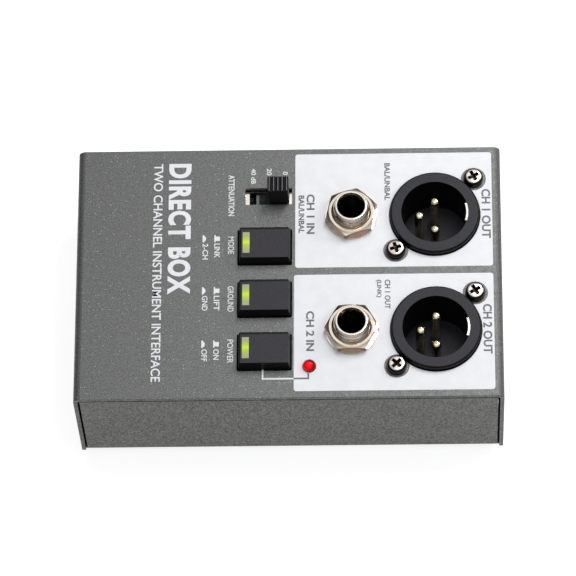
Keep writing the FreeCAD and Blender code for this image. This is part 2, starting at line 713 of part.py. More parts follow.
def output_housing(y):
    """The connector body: ring above the panel, socket, floor, skirt to the board and two screw lugs."""
    body = rod(OUTPUT_X, y, BOARD_TOP, OUT_TOP, OUT_RING_R)
    body = body.makeFillet(OUT_RING_EDGE, edges_at_height(body, OUT_TOP))
    groove_outer = SHELL_CONTACT_R + SHELL_CONTACT_THICK + SHELL_GROOVE_PLAY
    groove_inner = OUT_BORE_R - OVERSHOOT
    cuts = [
        rod(OUTPUT_X, y, OUT_FLOOR, OUT_TOP + OVERSHOOT, OUT_BORE_R),
        rod(OUTPUT_X, y, BOARD_TOP, OUT_FLOOR - OUT_FLOOR_THICK, OUT_SKIRT_R),
        wall_strip(y, groove_inner, groove_outer, SHELL_GROOVE_ANGLE, OUT_TOP + OVERSHOOT),
    ]
    for x_pin, y_pin in output_pin_places(y):
        cuts.append(rod(x_pin, y_pin, BOARD_TOP, OUT_FLOOR + OVERSHOOT, PIN_TAIL_R))
    lugs = []
    for x_screw, y_screw in output_screw_places(y):
        lugs.append(rod(x_screw, y_screw, PANEL_UNDER - OUT_LUG_HEIGHT, PANEL_UNDER, OUT_LUG_R))
        cuts.append(rod(x_screw, y_screw, PANEL_TOP - PAN_SCREW_LENGTH, PANEL_TOP, PAN_SCREW_R))
    return body.fuse(lugs).cut(cuts)


def output_shell_contact(y):
    """The thin contact plate in the socket's wall, which earths the shell of the plug."""
    outer = SHELL_CONTACT_R + SHELL_CONTACT_THICK
    return wall_strip(y, SHELL_CONTACT_R, outer, SHELL_CONTACT_ANGLE, SHELL_CONTACT_TOP)


def output_pins(y):
    """Three round pins with domed, centre-drilled tips and thinner tails through the board."""
    pins = []
    for x_pin, y_pin in output_pin_places(y):
        pin = turned(x_pin, y_pin, [
            (0, TAIL_END), (PIN_TAIL_R, TAIL_END), (PIN_TAIL_R, OUT_FLOOR), (PIN_R, OUT_FLOOR),
            (PIN_R, PIN_TOP), (0, PIN_TOP),
        ])
        pin = pin.makeFillet(PIN_TIP_R, edges_at_height(pin, PIN_TOP))
        dimple_foot = Vector(x_pin, y_pin, PIN_TOP - PIN_DIMPLE_DEPTH)
        dimple = Part.makeCone(0, PIN_DIMPLE_R, PIN_DIMPLE_DEPTH, dimple_foot, Z_AXIS)
        pins.append(pin.cut(dimple))
    return group(pins)


def output_screws(channel):
    """Two pan-head screws with cross recesses, through the panel into the housing's lugs."""
    screws = []
    head_top = PANEL_TOP + PAN_HEAD_HEIGHT
    for side, (x, y) in zip((-1, 1), output_screw_places(CHANNEL_Y[channel])):
        head = rod(x, y, PANEL_TOP, head_top, PAN_HEAD_R)
        head = head.makeFillet(PAN_HEAD_CROWN, edges_at_height(head, head_top))
        shank = rod(x, y, PANEL_TOP - PAN_SCREW_LENGTH, PANEL_TOP, PAN_SCREW_R)
        recess = cross_recess(x, y, head_top, -1, PAN_TURN[channel, side])
        screws.append(fuse_all([head, shank]).cut(recess))
    return group(screws)


# ---------------------------------------------------------------- input jacks
def jack_housing(y):
    """The moulded jack body under the panel, open right through for the plug."""
    body = rounded_block(
        INPUT_X, y, JACK_HOUSING_LENGTH, JACK_HOUSING_WIDTH, JACK_HOUSING_CORNER, BOARD_TOP, PANEL_UNDER
    )
    flange_low = PANEL_UNDER - JACK_FLANGE_THICK
    low = BOARD_TOP - OVERSHOOT
    cuts = [
        rod(INPUT_X, y, low, flange_low, JACK_CHAMBER_R),
        rod(INPUT_X, y, flange_low, PANEL_TOP, JACK_FLANGE_R),
    ]
    slot_top = PANEL_UNDER - JACK_SLOT_DROP
    for side in (-1, 1):
        x = INPUT_X + side * JACK_SLOT_X
        cuts.append(centred_block(x, y, JACK_SLOT_LENGTH, JACK_SLOT_WIDTH, low, slot_top))
    return body.cut(cuts)


def jack_bushing(y):
    """The threaded bushing: flared mouth, lip, cone, thread and the flange under the panel."""
    flange_low = PANEL_UNDER - JACK_FLANGE_THICK
    lip_low = JACK_TOP - JACK_LIP_HEIGHT
    thread_top = lip_low - JACK_CONE_HEIGHT
    root_r = JACK_THREAD_R - JACK_THREAD_DEPTH
    outline = [(JACK_BORE_R, flange_low), (JACK_FLANGE_R, flange_low), (JACK_FLANGE_R, PANEL_UNDER)]
    turns = int((thread_top - PANEL_UNDER) / JACK_THREAD_PITCH)
    for turn in range(turns):
        z = PANEL_UNDER + turn * JACK_THREAD_PITCH
        outline.append((root_r, z))
        outline.append((JACK_THREAD_R, z + JACK_THREAD_PITCH / 2))
    outline.append((root_r, PANEL_UNDER + turns * JACK_THREAD_PITCH))
    outline += [
        (JACK_THREAD_R, thread_top), (JACK_LIP_R, lip_low), (JACK_LIP_R, JACK_TOP),
        (JACK_MOUTH_R, JACK_TOP), (JACK_BORE_R, JACK_TOP - JACK_MOUTH_DEPTH),
    ]
    bushing = turned(INPUT_X, y, outline)
    top_edges = edges_at_height(bushing, JACK_TOP)
    rim = [e for e in top_edges if e.BoundBox.XLength > JACK_MOUTH_R + JACK_LIP_R]
    return bushing.makeFillet(JACK_LIP_EDGE, rim)


def jack_washer(y):
    """The flat washer under the nut."""
    top = PANEL_TOP + JACK_WASHER_THICK
    hole = rod(INPUT_X, y, PANEL_TOP, top, JACK_WASHER_HOLE_R)
    return rod(INPUT_X, y, PANEL_TOP, top, JACK_WASHER_R).cut(hole)


def jack_nut(y, turn):
    """The hexagon nut, with its corners turned down on top and a countersunk thread."""
    low = PANEL_TOP + JACK_WASHER_THICK
    high = low + JACK_NUT_HEIGHT
    corner_r = JACK_NUT_FLATS / math.sqrt(3)
    corners = []
    for step in range(6):
        angle = math.radians(turn + 60 * step)
        corners.append(Vector(INPUT_X + corner_r * math.cos(angle), y + corner_r * math.sin(angle), low))
    prism = Part.Face(Part.makePolygon(corners + corners[:1])).extrude(Vector(0, 0, JACK_NUT_HEIGHT))
    blank_r = corner_r + EDGE_BREAK
    shoulder = high - (blank_r - JACK_NUT_FACE_R) * JACK_NUT_SLOPE
    blank = turned(INPUT_X, y, [
        (0, low), (blank_r, low), (blank_r, shoulder), (JACK_NUT_FACE_R, high), (0, high),
    ])
    thread_hole = rod(INPUT_X, y, low, high, JACK_THREAD_R)
    mouth_r = JACK_THREAD_R + JACK_NUT_COUNTERSINK
    mouth_foot = Vector(INPUT_X, y, high - JACK_NUT_COUNTERSINK_DEPTH)
    countersink = Part.makeCone(JACK_THREAD_R, mouth_r, JACK_NUT_COUNTERSINK_DEPTH, mouth_foot, Z_AXIS)
    return prism.common(blank).cut([thread_hole, countersink])


def jack_contacts(y):
    """Tip and ring springs: bent strips in the housing's slots, with tails through the board."""
    strips = []
    for side, bend_z in SPRING_STRIP_BENDS.items():
        line = [
            (SPRING_STRIP_X, TAIL_END),
            (SPRING_STRIP_X, bend_z - SPRING_STRIP_SLOPE),
            (SPRING_STRIP_TIP_X, bend_z),
            (SPRING_STRIP_TOP_X, bend_z + SPRING_STRIP_SLOPE),
            (SPRING_STRIP_TOP_X, SPRING_STRIP_TOP),
        ]
        edge_y = y - SPRING_STRIP_WIDTH / 2
        near = [Vector(INPUT_X + side * r, edge_y, z) for r, z in line]
        far = [Vector(INPUT_X + side * (r + SPRING_STRIP_THICK), edge_y, z) for r, z in reversed(line)]
        face = Part.Face(Part.makePolygon(near + far + near[:1]))
        strips.append(face.extrude(Vector(0, SPRING_STRIP_WIDTH, 0)))
    return group(strips)


# ---------------------------------------------------------------- push switches
def button_cap(y):
    """The cap: a tapered crown, a straight skirt, a hollow underside and a socket for the plunger."""
    skirt = rounded_block(BUTTON_X, y, CAP_LENGTH, CAP_WIDTH, CAP_CORNER, CAP_SKIRT_LOW, PANEL_TOP)
    top_length = CAP_LENGTH - 2 * CAP_TAPER
    top_width = CAP_WIDTH - 2 * CAP_TAPER
    crown = tapered_block(
        rounded_outline(BUTTON_X, y, CAP_LENGTH, CAP_WIDTH, CAP_CORNER, PANEL_TOP),
        rounded_outline(BUTTON_X, y, top_length, top_width, CAP_CORNER, CAP_TOP),
    )
    cap = fuse_all([skirt, crown])
    cap = cap.makeFillet(CAP_EDGE, edges_at_height(cap, CAP_TOP))
    roof_under = CAP_TOP - CAP_ROOF
    hollow_length = CAP_LENGTH - 2 * CAP_WALL
    hollow_width = CAP_WIDTH - 2 * CAP_WALL
    hollow = rounded_block(BUTTON_X, y, hollow_length, hollow_width, CAP_CORNER, CAP_SKIRT_LOW, roof_under)
    socket_size = PLUNGER_SIZE + 2 * CAP_SOCKET_WALL
    socket = centred_block(BUTTON_X, y, socket_size, socket_size, CAP_SOCKET_LOW, roof_under)
    stem = centred_block(BUTTON_X, y, PLUNGER_SIZE, PLUNGER_SIZE, CAP_SKIRT_LOW, PLUNGER_TOP)
    window_x = BUTTON_X + WINDOW_OFFSET
    window = centred_block(window_x, y, WINDOW_LENGTH, WINDOW_WIDTH, CAP_SKIRT_LOW, CAP_TOP + OVERSHOOT)
    return cap.cut(hollow).fuse(socket).cut([stem, window]).removeSplitter()


def button_window(y):
    """The clear light pipe, flush with the cap's top, with its foot inside the cap."""
    window_x = BUTTON_X + WINDOW_OFFSET
    return centred_block(window_x, y, WINDOW_LENGTH, WINDOW_WIDTH, CAP_TOP - WINDOW_DEPTH, CAP_TOP)


def switch_body(y):
    """The switch's moulded body on the board, hollow for the plunger's foot."""
    body = centred_block(BUTTON_X, y, SWITCH_SIZE, SWITCH_SIZE, BOARD_TOP, SWITCH_TOP)
    inner = SWITCH_SIZE - 2 * SWITCH_WALL
    cavity = centred_block(BUTTON_X, y, inner, inner, BOARD_TOP + SWITCH_WALL, SWITCH_TOP - SWITCH_WALL)
    mouth_size = PLUNGER_SIZE + 2 * PLUNGER_PLAY
    mouth = centred_block(BUTTON_X, y, mouth_size, mouth_size, SWITCH_TOP - 2 * SWITCH_WALL, SWITCH_TOP)
    return body.cut([cavity, mouth])


def switch_plunger(y):
    """The square plunger: foot inside the body, collar for the spring, head inside the cap's socket."""
    foot_top = SWITCH_TOP - SWITCH_WALL - PLUNGER_FOOT_DROP
    foot_low = foot_top - PLUNGER_FOOT_HEIGHT
    foot = centred_block(BUTTON_X, y, PLUNGER_FOOT, PLUNGER_FOOT, foot_low, foot_top)
    stem = centred_block(BUTTON_X, y, PLUNGER_SIZE, PLUNGER_SIZE, foot_low, PLUNGER_TOP)
    collar = rod(BUTTON_X, y, COLLAR_LOW, COLLAR_LOW + COLLAR_THICK, COLLAR_R)
    return fuse_all([foot, stem, collar])


def switch_spring(y):
    """The return spring round the plunger, between the switch body and the collar."""
    low = SWITCH_TOP + COIL_WIRE_R
    height = COLLAR_LOW - COIL_WIRE_R - low
    helix = Part.makeHelix(height / COIL_TURNS, height, COIL_R)
    first = helix.Edges[0]
    start = first.valueAt(first.FirstParameter)
    outward = Vector(start.x, start.y, 0).normalize()
    across = first.tangentAt(first.FirstParameter).cross(outward)
    corners = []
    for side in range(COIL_WIRE_SIDES + 1):
        angle = math.radians(360 * side / COIL_WIRE_SIDES)
        corners.append(start + COIL_WIRE_R * (math.cos(angle) * outward + math.sin(angle) * across))
    coil = Part.Wire(helix.Edges).makePipeShell([Part.makePolygon(corners)], True, True)
    coil.translate(Vector(BUTTON_X, y, low))
    return coil


def switch_terminals():
    """The tinned pins of the three push switches, through the board."""
    pins = []
    for button in BUTTONS:
        for row in (-1, 1):
            y = BUTTON_Y[button] + row * TERMINAL_ROW
            for step in (-1, 0, 1):
                x = BUTTON_X + PITCH * step
                pins.append(centred_block(x, y, TERMINAL_SIZE, TERMINAL_SIZE, TAIL_END, BOARD_TOP))
    return group(pins)


# ---------------------------------------------------------------- attenuation slide switch
def slide_frame():
    """The nickel can of the slide switch, with the opening that the knob's stem runs in."""
    can = centred_block(SLOT_X, SLOT_Y, FRAME_LENGTH, FRAME_WIDTH, FRAME_LOW, FRAME_TOP)
    can = can.makeFillet(FRAME_EDGE, edges_at_height(can, FRAME_TOP))
    inner_length = FRAME_LENGTH - 2 * FRAME_SHEET
    inner_width = FRAME_WIDTH - 2 * FRAME_SHEET
    hollow = centred_block(SLOT_X, SLOT_Y, inner_length, inner_width, FRAME_LOW, FRAME_TOP - FRAME_SHEET)
    opening = centred_block(
        FRAME_OPENING_X, SLOT_Y, FRAME_OPENING_LENGTH, FRAME_OPENING_WIDTH, FRAME_LOW, FRAME_TOP + OVERSHOOT
    )
    return can.cut([hollow, opening])


def slide_base():
    """The moulded wafer that closes the can."""
    margin = 2 * (FRAME_SHEET + WAFER_PLAY)
    length = FRAME_LENGTH - margin
    width = FRAME_WIDTH - margin
    return centred_block(SLOT_X, SLOT_Y, length, width, FRAME_LOW, FRAME_LOW + WAFER_THICK)


def slide_contacts():
    """Eight metal strips on the wafer, which the slider's shoe bridges."""
    low = FRAME_LOW + WAFER_THICK
    strips = []
    for row in (-1, 1):
        for step in (-1.5, -0.5, 0.5, 1.5):
            x = SLOT_X + step * STRIP_SPACING
            y = SLOT_Y + row * STRIP_ROW
            strips.append(centred_block(x, y, STRIP_LENGTH, STRIP_WIDTH, low, low + STRIP_THICK))
    return group(strips)


def attenuation_slider():
    """The moving piece: carrier plate and shoe in the can, stem through its opening, ribbed knob."""
    carrier_low = CARRIER_TOP - CARRIER_THICK
    carrier = centred_block(KNOB_X, SLOT_Y, 2 * CARRIER_BEHIND, CARRIER_WIDTH, carrier_low, CARRIER_TOP)
    shoe = centred_block(KNOB_X, SLOT_Y, SHOE_LENGTH, SHOE_WIDTH, CARRIER_TOP - SHOE_DEPTH, CARRIER_TOP)
    stem = centred_block(KNOB_X, SLOT_Y, KNOB_STEM_LENGTH, KNOB_STEM_WIDTH, carrier_low, PANEL_TOP)
    crown = KNOB_TOP - KNOB_RIB_R
    knob_low = FRAME_TOP + MARK_RISE
    knob = rounded_block(KNOB_X, SLOT_Y, KNOB_LENGTH, KNOB_WIDTH, KNOB_CORNER, knob_low, crown)
    rib_span = KNOB_LENGTH - 2 * (KNOB_RIB_R + KNOB_RIB_MARGIN)
    rib_half = KNOB_WIDTH / 2 - KNOB_RIB_MARGIN
    ribs = []
    for step in range(KNOB_RIBS):
        x = KNOB_X + rib_span * (step / (KNOB_RIBS - 1) - 1 / 2)
        ribs.append(rod_along_y(x, SLOT_Y - rib_half, SLOT_Y + rib_half, crown, KNOB_RIB_R))
    mark_x = KNOB_X - CARRIER_BEHIND + MARK_LENGTH / 2 + KNOB_RIB_MARGIN
    mark = centred_block(mark_x, SLOT_Y, MARK_LENGTH, MARK_WIDTH, carrier_low, CARRIER_TOP + MARK_RISE)
    return fuse_all([carrier, shoe, stem, knob, mark] + ribs)


def riser_pins():
    """Square header pins that join the riser board to the main board."""
    pins = []
    for row in (-1, 1):
        for step in range(RISER_PINS):
            x = SLOT_X + PITCH * (step - (RISER_PINS - 1) / 2)
            y = SLOT_Y + row * RISER_ROW
            top = FRAME_LOW + RISER_PIN_PROUD
            pins.append(centred_block(x, y, RISER_PIN_SIZE, RISER_PIN_SIZE, TAIL_END, top))
    return group(pins)


def riser_board():
    """The small board that lifts the slide switch to the panel."""
    board = centred_block(SLOT_X, SLOT_Y, FRAME_LENGTH, RISER_WIDTH, FRAME_LOW - BOARD_THICK, FRAME_LOW)
    return board.cut(riser_pins())


# ---------------------------------------------------------------- power lamp
def lamp_lens():
    """A round lamp: a rim, a straight body and a domed end through the panel."""
    dome_z = LAMP_TOP - LAMP_R
    body = rod(LAMP_X, LAMP_Y, LAMP_LOW, dome_z, LAMP_R)
    dome = Part.makeSphere(LAMP_R, Vector(LAMP_X, LAMP_Y, dome_z))
    rim = rod(LAMP_X, LAMP_Y, LAMP_LOW, LAMP_LOW + LAMP_RIM_THICK, LAMP_RIM_R)
    return fuse_all([body, dome, rim])


def lamp_lead_places():
    """Centres of the lamp's two leads."""
    return [(LAMP_X, LAMP_Y - PITCH / 2), (LAMP_X, LAMP_Y + PITCH / 2)]


def lamp_leads():
    """The lamp's two leads, down through the spacer and the board."""
    leads = []
    for x, y in lamp_lead_places():
        leads.append(centred_block(x, y, LAMP_LEAD_SIZE, LAMP_LEAD_SIZE, TAIL_END, LAMP_LOW))
    return group(leads)


def lamp_spacer():
    """The post that holds the lamp at panel height, with a channel for each lead."""
    top = LAMP_LOW - SPACER_GAP
    channels = [rod(x, y, BOARD_TOP, top, SPACER_CHANNEL_R) for x, y in lamp_lead_places()]
    return rod(LAMP_X, LAMP_Y, BOARD_TOP, top, SPACER_R).cut(channels)


# ---------------------------------------------------------------- circuit board and its parts
def main_board():
    """The circuit board, pierced under the jacks for the plug tips and for every lead."""
    board = block(BOARD_X0, BOARD_X1, -BOARD_HALF_WIDTH, BOARD_HALF_WIDTH, BOARD_UNDER, BOARD_TOP)
    span = (BOARD_UNDER - OVERSHOOT, BOARD_TOP + OVERSHOOT)
    holes = [
        switch_terminals(), riser_pins(), lamp_leads(), chip_legs(),
        battery_lead(*RED_ROUTE), battery_lead(*BLACK_ROUTE),
    ]
    for channel in CHANNELS:
        y = CHANNEL_Y[channel]
        holes.append(rod(INPUT_X, y, *span, JACK_PLUG_HOLE_R))
        for x_pin, y_pin in output_pin_places(y):
            holes.append(rod(x_pin, y_pin, *span, PIN_TAIL_R))
        for side in (-1, 1):
            x = INPUT_X + side * (SPRING_STRIP_X + SPRING_STRIP_THICK / 2)
            holes.append(centred_block(x, y, SPRING_STRIP_THICK, SPRING_STRIP_WIDTH, *span))
    return board.cut(holes)


def op_amp_chips():
    """Eight-leg chips, each with a notch at its first end."""
    low = BOARD_TOP + CHIP_STAND
    high = low + CHIP_HEIGHT
    chips = []
    for x, y in CHIP_PLACES:
        chip = centred_block(x, y, CHIP_LENGTH, CHIP_WIDTH, low, high)
        chips.append(chip.cut(rod(x - CHIP_LENGTH / 2, y, high - CHIP_STAND, high, CHIP_NOTCH_R)))
    return group(chips)


def chip_legs():
    """The chips' legs, beside each body and through the board."""
    legs = []
    for x, y in CHIP_PLACES:
        for row in (-1, 1):
            leg_y = y + row * (CHIP_WIDTH + CHIP_LEG_SIZE) / 2
            for step in (-1.5, -0.5, 0.5, 1.5):
                leg = centred_block(x, leg_y, CHIP_LEG_SIZE, CHIP_LEG_SIZE, TAIL_END, CHIP_LEG_TOP)
                leg.translate(X_AXIS * (step * PITCH))
                legs.append(leg)
    return group(legs)


def electrolytic_capacitors():
    """Upright cans with a rounded upper edge."""
    cans = []
    for x, y in ELECTROLYTIC_PLACES:
        can = rod(x, y, BOARD_TOP, ELECTROLYTIC_TOP, ELECTROLYTIC_R)
        cans.append(can.makeFillet(EDGE_BREAK, edges_at_height(can, ELECTROLYTIC_TOP)))
    return group(cans)


def film_capacitors():
    """Small boxed capacitors."""
    top = BOARD_TOP + FILM_HEIGHT
    return group([centred_block(x, y, FILM_LENGTH, FILM_WIDTH, BOARD_TOP, top) for x, y in FILM_PLACES])


def resistors():
    """Resistors lying on the board, each a barrel with two thicker ends."""
    z = BOARD_TOP + RESISTOR_R
    half = RESISTOR_LENGTH / 2
    barrels = []
    for x in RESISTOR_COLUMNS:
        for y in RESISTOR_ROWS:
            waist = rod_along_x(x - half, x + half, y, z, RESISTOR_WAIST_R)
            left = rod_along_x(x - half, x - half + RESISTOR_END, y, z, RESISTOR_R)
            right = rod_along_x(x + half - RESISTOR_END, x + half, y, z, RESISTOR_R)
            barrels.append(fuse_all([waist, left, right]))
    return group(barrels)


# ---------------------------------------------------------------- every node
def all_nodes():
    """Node name to shape."""
    nodes = {
        "top_cover": top_cover(),
        "base_shell": base_shell(),
        "casing_screws": casing_screws(),
        "rubber_feet": rubber_feet(),
        "battery_box": battery_box(),
        "battery_door": battery_door(),
        "battery": battery(),
        "battery_terminals": battery_terminals(),
        "battery_snap_connector": snap_connector(),
        "red_battery_lead": battery_lead(*RED_ROUTE),
        "black_battery_lead": battery_lead(*BLACK_ROUTE),
        "main_board": main_board(),
        "op_amp_chips": op_amp_chips(),
        "chip_legs": chip_legs(),
        "electrolytic_capacitors": electrolytic_capacitors(),
        "film_capacitors": film_capacitors(),
        "resistors": resistors(),
        "attenuation_frame": slide_frame(),
        "attenuation_base": slide_base(),
        "attenuation_contacts": slide_contacts(),
        "attenuation_slider": attenuation_slider(),
        "attenuation_riser_board": riser_board(),
        "attenuation_riser_pins": riser_pins(),
        "power_lamp_lens": lamp_lens(),
        "power_lamp_leads": lamp_leads(),
        "power_lamp_spacer": lamp_spacer(),
        "switch_terminals": switch_terminals(),
    }
    for channel in CHANNELS:
        y = CHANNEL_Y[channel]
        nodes[channel + "_output_housing"] = output_housing(y)
        nodes[channel + "_output_pins"] = output_pins(y)
        nodes[channel + "_output_shell_contact"] = output_shell_contact(y)
        nodes[channel + "_output_screws"] = output_screws(channel)
        nodes[channel + "_input_housing"] = jack_housing(y)
        nodes[channel + "_input_bushing"] = jack_bushing(y)
        nodes[channel + "_input_nut"] = jack_nut(y, JACK_NUT_TURN[channel])
        nodes[channel + "_input_washer"] = jack_washer(y)
        nodes[channel + "_input_contacts"] = jack_contacts(y)
    for button in BUTTONS:
        y = BUTTON_Y[button]
        nodes[button + "_switch_body"] = switch_body(y)
        nodes[button + "_switch_plunger"] = switch_plunger(y)
        nodes[button + "_switch_spring"] = switch_spring(y)
        nodes[button + "_button_cap"] = button_cap(y)
        nodes[button + "_button_window"] = button_window(y)
    return nodes


os.makedirs("parts", exist_ok=True)
for node, shape in all_nodes().items():
    shape.exportStep("parts/" + node + ".step")
    state = "valid" if shape.isValid() else "NOT VALID"
    print(node, len(shape.Solids), "solids,", round(shape.Volume, 1), "mm3,", state)
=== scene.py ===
import math

import bmesh
import bpy
from mathutils import Matrix, Vector


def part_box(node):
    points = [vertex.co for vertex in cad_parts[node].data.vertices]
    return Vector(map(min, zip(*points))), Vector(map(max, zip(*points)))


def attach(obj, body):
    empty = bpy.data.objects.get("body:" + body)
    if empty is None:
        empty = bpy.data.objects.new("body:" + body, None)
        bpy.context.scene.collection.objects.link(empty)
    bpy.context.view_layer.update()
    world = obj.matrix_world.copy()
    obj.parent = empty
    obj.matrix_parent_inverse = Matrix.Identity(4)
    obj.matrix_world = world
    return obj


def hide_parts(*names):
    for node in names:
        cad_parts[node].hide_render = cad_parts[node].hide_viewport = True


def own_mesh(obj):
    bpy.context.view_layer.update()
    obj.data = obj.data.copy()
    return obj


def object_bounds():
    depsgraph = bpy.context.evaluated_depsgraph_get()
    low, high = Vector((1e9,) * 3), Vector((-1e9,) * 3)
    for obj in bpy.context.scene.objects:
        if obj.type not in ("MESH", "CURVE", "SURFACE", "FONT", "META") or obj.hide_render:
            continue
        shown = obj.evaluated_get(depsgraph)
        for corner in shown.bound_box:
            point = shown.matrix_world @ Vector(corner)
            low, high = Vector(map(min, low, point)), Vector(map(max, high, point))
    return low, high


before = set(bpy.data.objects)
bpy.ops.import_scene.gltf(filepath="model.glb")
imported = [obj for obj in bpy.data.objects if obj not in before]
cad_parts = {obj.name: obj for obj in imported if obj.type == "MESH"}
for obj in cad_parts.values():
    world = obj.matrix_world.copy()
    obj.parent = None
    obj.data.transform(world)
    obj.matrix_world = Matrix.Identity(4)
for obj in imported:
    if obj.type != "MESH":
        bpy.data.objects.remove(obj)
cad_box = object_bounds()

# Lengths are in millimetres of the CAD model's frame, and MM turns them into metres. The camera's
# distance, the floor's radius and pool, and the lamps' places and sizes are in metres.
MM = 0.001
CHANNELS = ("channel_1", "channel_2")
SWITCHES = ("power", "ground", "mode")


def centre(node):
    """The middle of a CAD node's box, in millimetres."""
    low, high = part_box(node)
    return (low + high) / 2 / MM


def top_of(node):
    """The height of a CAD node's highest point, in millimetres."""
    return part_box(node)[1].z / MM


PANEL_TOP = top_of("top_cover")


# ---------------------------------------------------------------- camera

AIM = Vector((-0.68, 2.89, 18.0)) * MM
CAMERA_DISTANCE = 1.0815
CAMERA_TURN = math.radians(4.206)
CAMERA_ELEVATION = math.radians(64.89)
CAMERA_ROLL = math.radians(-4.469)
FOCAL_LENGTH = 270.8
SENSOR_WIDTH = 36.0


def add_camera():
    """The viewpoint: high in front, a little to the right, rolled slightly clockwise."""
    level = math.cos(CAMERA_ELEVATION)
    toward_camera = Vector((
        math.sin(CAMERA_TURN) * level,
        -math.cos(CAMERA_TURN) * level,
        math.sin(CAMERA_ELEVATION),
    ))
    data = bpy.data.cameras.new("camera")
    data.lens = FOCAL_LENGTH
    data.sensor_width = SENSOR_WIDTH
    camera = bpy.data.objects.new("camera", data)
    bpy.context.scene.collection.objects.link(camera)
    facing = toward_camera.to_track_quat("Z", "Y").to_matrix()
    camera.location = AIM + CAMERA_DISTANCE * toward_camera
    camera.rotation_euler = (facing @ Matrix.Rotation(CAMERA_ROLL, 3, "Z")).to_euler()
    bpy.context.scene.camera = camera


# ---------------------------------------------------------------- materials


def srgb(red, green, blue):
    """A linear colour from 0 to 255 display values."""
    def linear(value):
        share = value / 255
        return share / 12.92 if share <= 0.04045 else ((share + 0.055) / 1.055) ** 2.4
    return linear(red), linear(green), linear(blue)


def shade(colour, factor):
    """A colour made that many times as bright."""
    return tuple(factor * value for value in colour)


def fill_ramp(ramp, stops):
    """Gives a colour ramp its stops, each a position and a colour, in rising order."""
    elements = ramp.color_ramp.elements
    for element, (position, colour) in zip(elements, (stops[0], stops[-1])):
        element.position = position
        element.color = (*colour, 1.0)
    for position, colour in stops[1:-1]:
        elements.new(position).color = (*colour, 1.0)


# The middle part of a noise's range, where nearly all its values lie, and a wider one.
MIDDLE_NOISE = (0.35, 0.65)
WIDE_NOISE = (0.3, 0.7)


class Finish:
    """A material under construction: a Principled shader and the nodes that feed it.

    place is the point in metres, share its position from 0 to 1 across the piece's box.
    """

    def __init__(self, name, colour, roughness, metallic=0.0):
        self.material = bpy.data.materials.new(name)
        self.material.use_nodes = True
        self.tree = self.material.node_tree
        self.shader = self.tree.nodes["Principled BSDF"]
        self.set("Base Color", (*colour, 1.0))
        self.set("Roughness", roughness)
        self.set("Metallic", metallic)
        coordinates = self.node("ShaderNodeTexCoord")
        self.place = coordinates.outputs["Object"]
        self.share = coordinates.outputs["Generated"]
        self.normal = coordinates.outputs["Normal"]

    def node(self, kind, **settings):
        made = self.tree.nodes.new(kind)
        for key, value in settings.items():
            setattr(made, key, value)
        return made

    def set(self, socket, value):
        self.shader.inputs[socket].default_value = value

    def link(self, source, target):
        self.tree.links.new(source, target)

    def feed(self, socket, source):
        self.link(source, self.shader.inputs[socket])

    def noise(self, grain, detail=2.0, stretch=None):
        """Noise whose grains are about that many millimetres, stretched along an axis if asked."""
        texture = self.node("ShaderNodeTexNoise")
        texture.inputs["Scale"].default_value = 1 / (grain * MM)
        texture.inputs["Detail"].default_value = detail
        if stretch:
            mapping = self.node("ShaderNodeMapping")
            mapping.inputs["Scale"].default_value = stretch
            self.link(self.place, mapping.inputs["Vector"])
            self.link(mapping.outputs["Vector"], texture.inputs["Vector"])
        else:
            self.link(self.place, texture.inputs["Vector"])
        return texture.outputs["Fac"]

    def cells(self, grain):
        """Voronoi cells that many millimetres apart: the distance to each seed, and a colour per cell."""
        texture = self.node("ShaderNodeTexVoronoi")
        texture.inputs["Scale"].default_value = 1 / (grain * MM)
        self.link(self.place, texture.inputs["Vector"])
        return texture.outputs["Distance"], texture.outputs["Color"]

    def remap(self, source, from_low, from_high, to_low=0.0, to_high=1.0):
        """Carries a value from one range to another, and holds it inside the second."""
        scaled = self.node("ShaderNodeMapRange")
        self.link(source, scaled.inputs["Value"])
        scaled.inputs["From Min"].default_value = from_low
        scaled.inputs["From Max"].default_value = from_high
        scaled.inputs["To Min"].default_value = to_low
        scaled.inputs["To Max"].default_value = to_high
        return scaled.outputs["Result"]

    def part_of(self, vector, axis):
        """One component of a vector: X, Y or Z."""
        split = self.node("ShaderNodeSeparateXYZ")
        self.link(vector, split.inputs["Vector"])
        return split.outputs[axis]

    def facing_up(self, steep, flat):
        """1 where the surface lies flat and faces up, 0 where it is steep, by the cosine of its slope."""
        return self.remap(self.part_of(self.normal, "Z"), steep, flat)

    def times(self, first, second):
        product = self.node("ShaderNodeMath", operation="MULTIPLY")
        self.link(first, product.inputs[0])
        self.link(second, product.inputs[1])
        return product.outputs["Value"]

    def mix(self, share, first, second):
        """A colour between two colours, each given as numbers or as a socket."""
        blend = self.node("ShaderNodeMix", data_type="RGBA")
        self.link(share, blend.inputs["Factor"])
        for name, colour in (("A", first), ("B", second)):
            socket = [s for s in blend.inputs if s.name == name and s.type == "RGBA"][0]
            if isinstance(colour, tuple):
                socket.default_value = (*colour, 1.0)
            else:
                self.link(colour, socket)
        return [s for s in blend.outputs if s.type == "RGBA"][0]

    def bump(self, height, depth, strength):
        """Relief that many millimetres deep from a 0 to 1 height."""
        relief = self.node("ShaderNodeBump")
        relief.inputs["Strength"].default_value = strength
        relief.inputs["Distance"].default_value = depth * MM
        self.link(height, relief.inputs["Height"])
        self.feed("Normal", relief.outputs["Normal"])


PAINT_MOTTLE = {"grain": 0.34, "detail": 4.0, "stretch": (1.0, 1.0, 0.6)}
PAINT_MOTTLE_RANGE = (0.32, 0.68)
# The slopes between which the paint turns from the walls' painted shade to the top's colour.
PAINTED_SHADE_SLOPE = (0.3, 0.8)
FLAKE_SPACING = 0.8
FLAKE_CHOICE = (0.62, 0.68)
FLAKE_STRENGTH = 0.7
FLAKE_EDGE = (0.05, 0.20)
PAINT_ROUGHNESS = (0.42, 0.54)


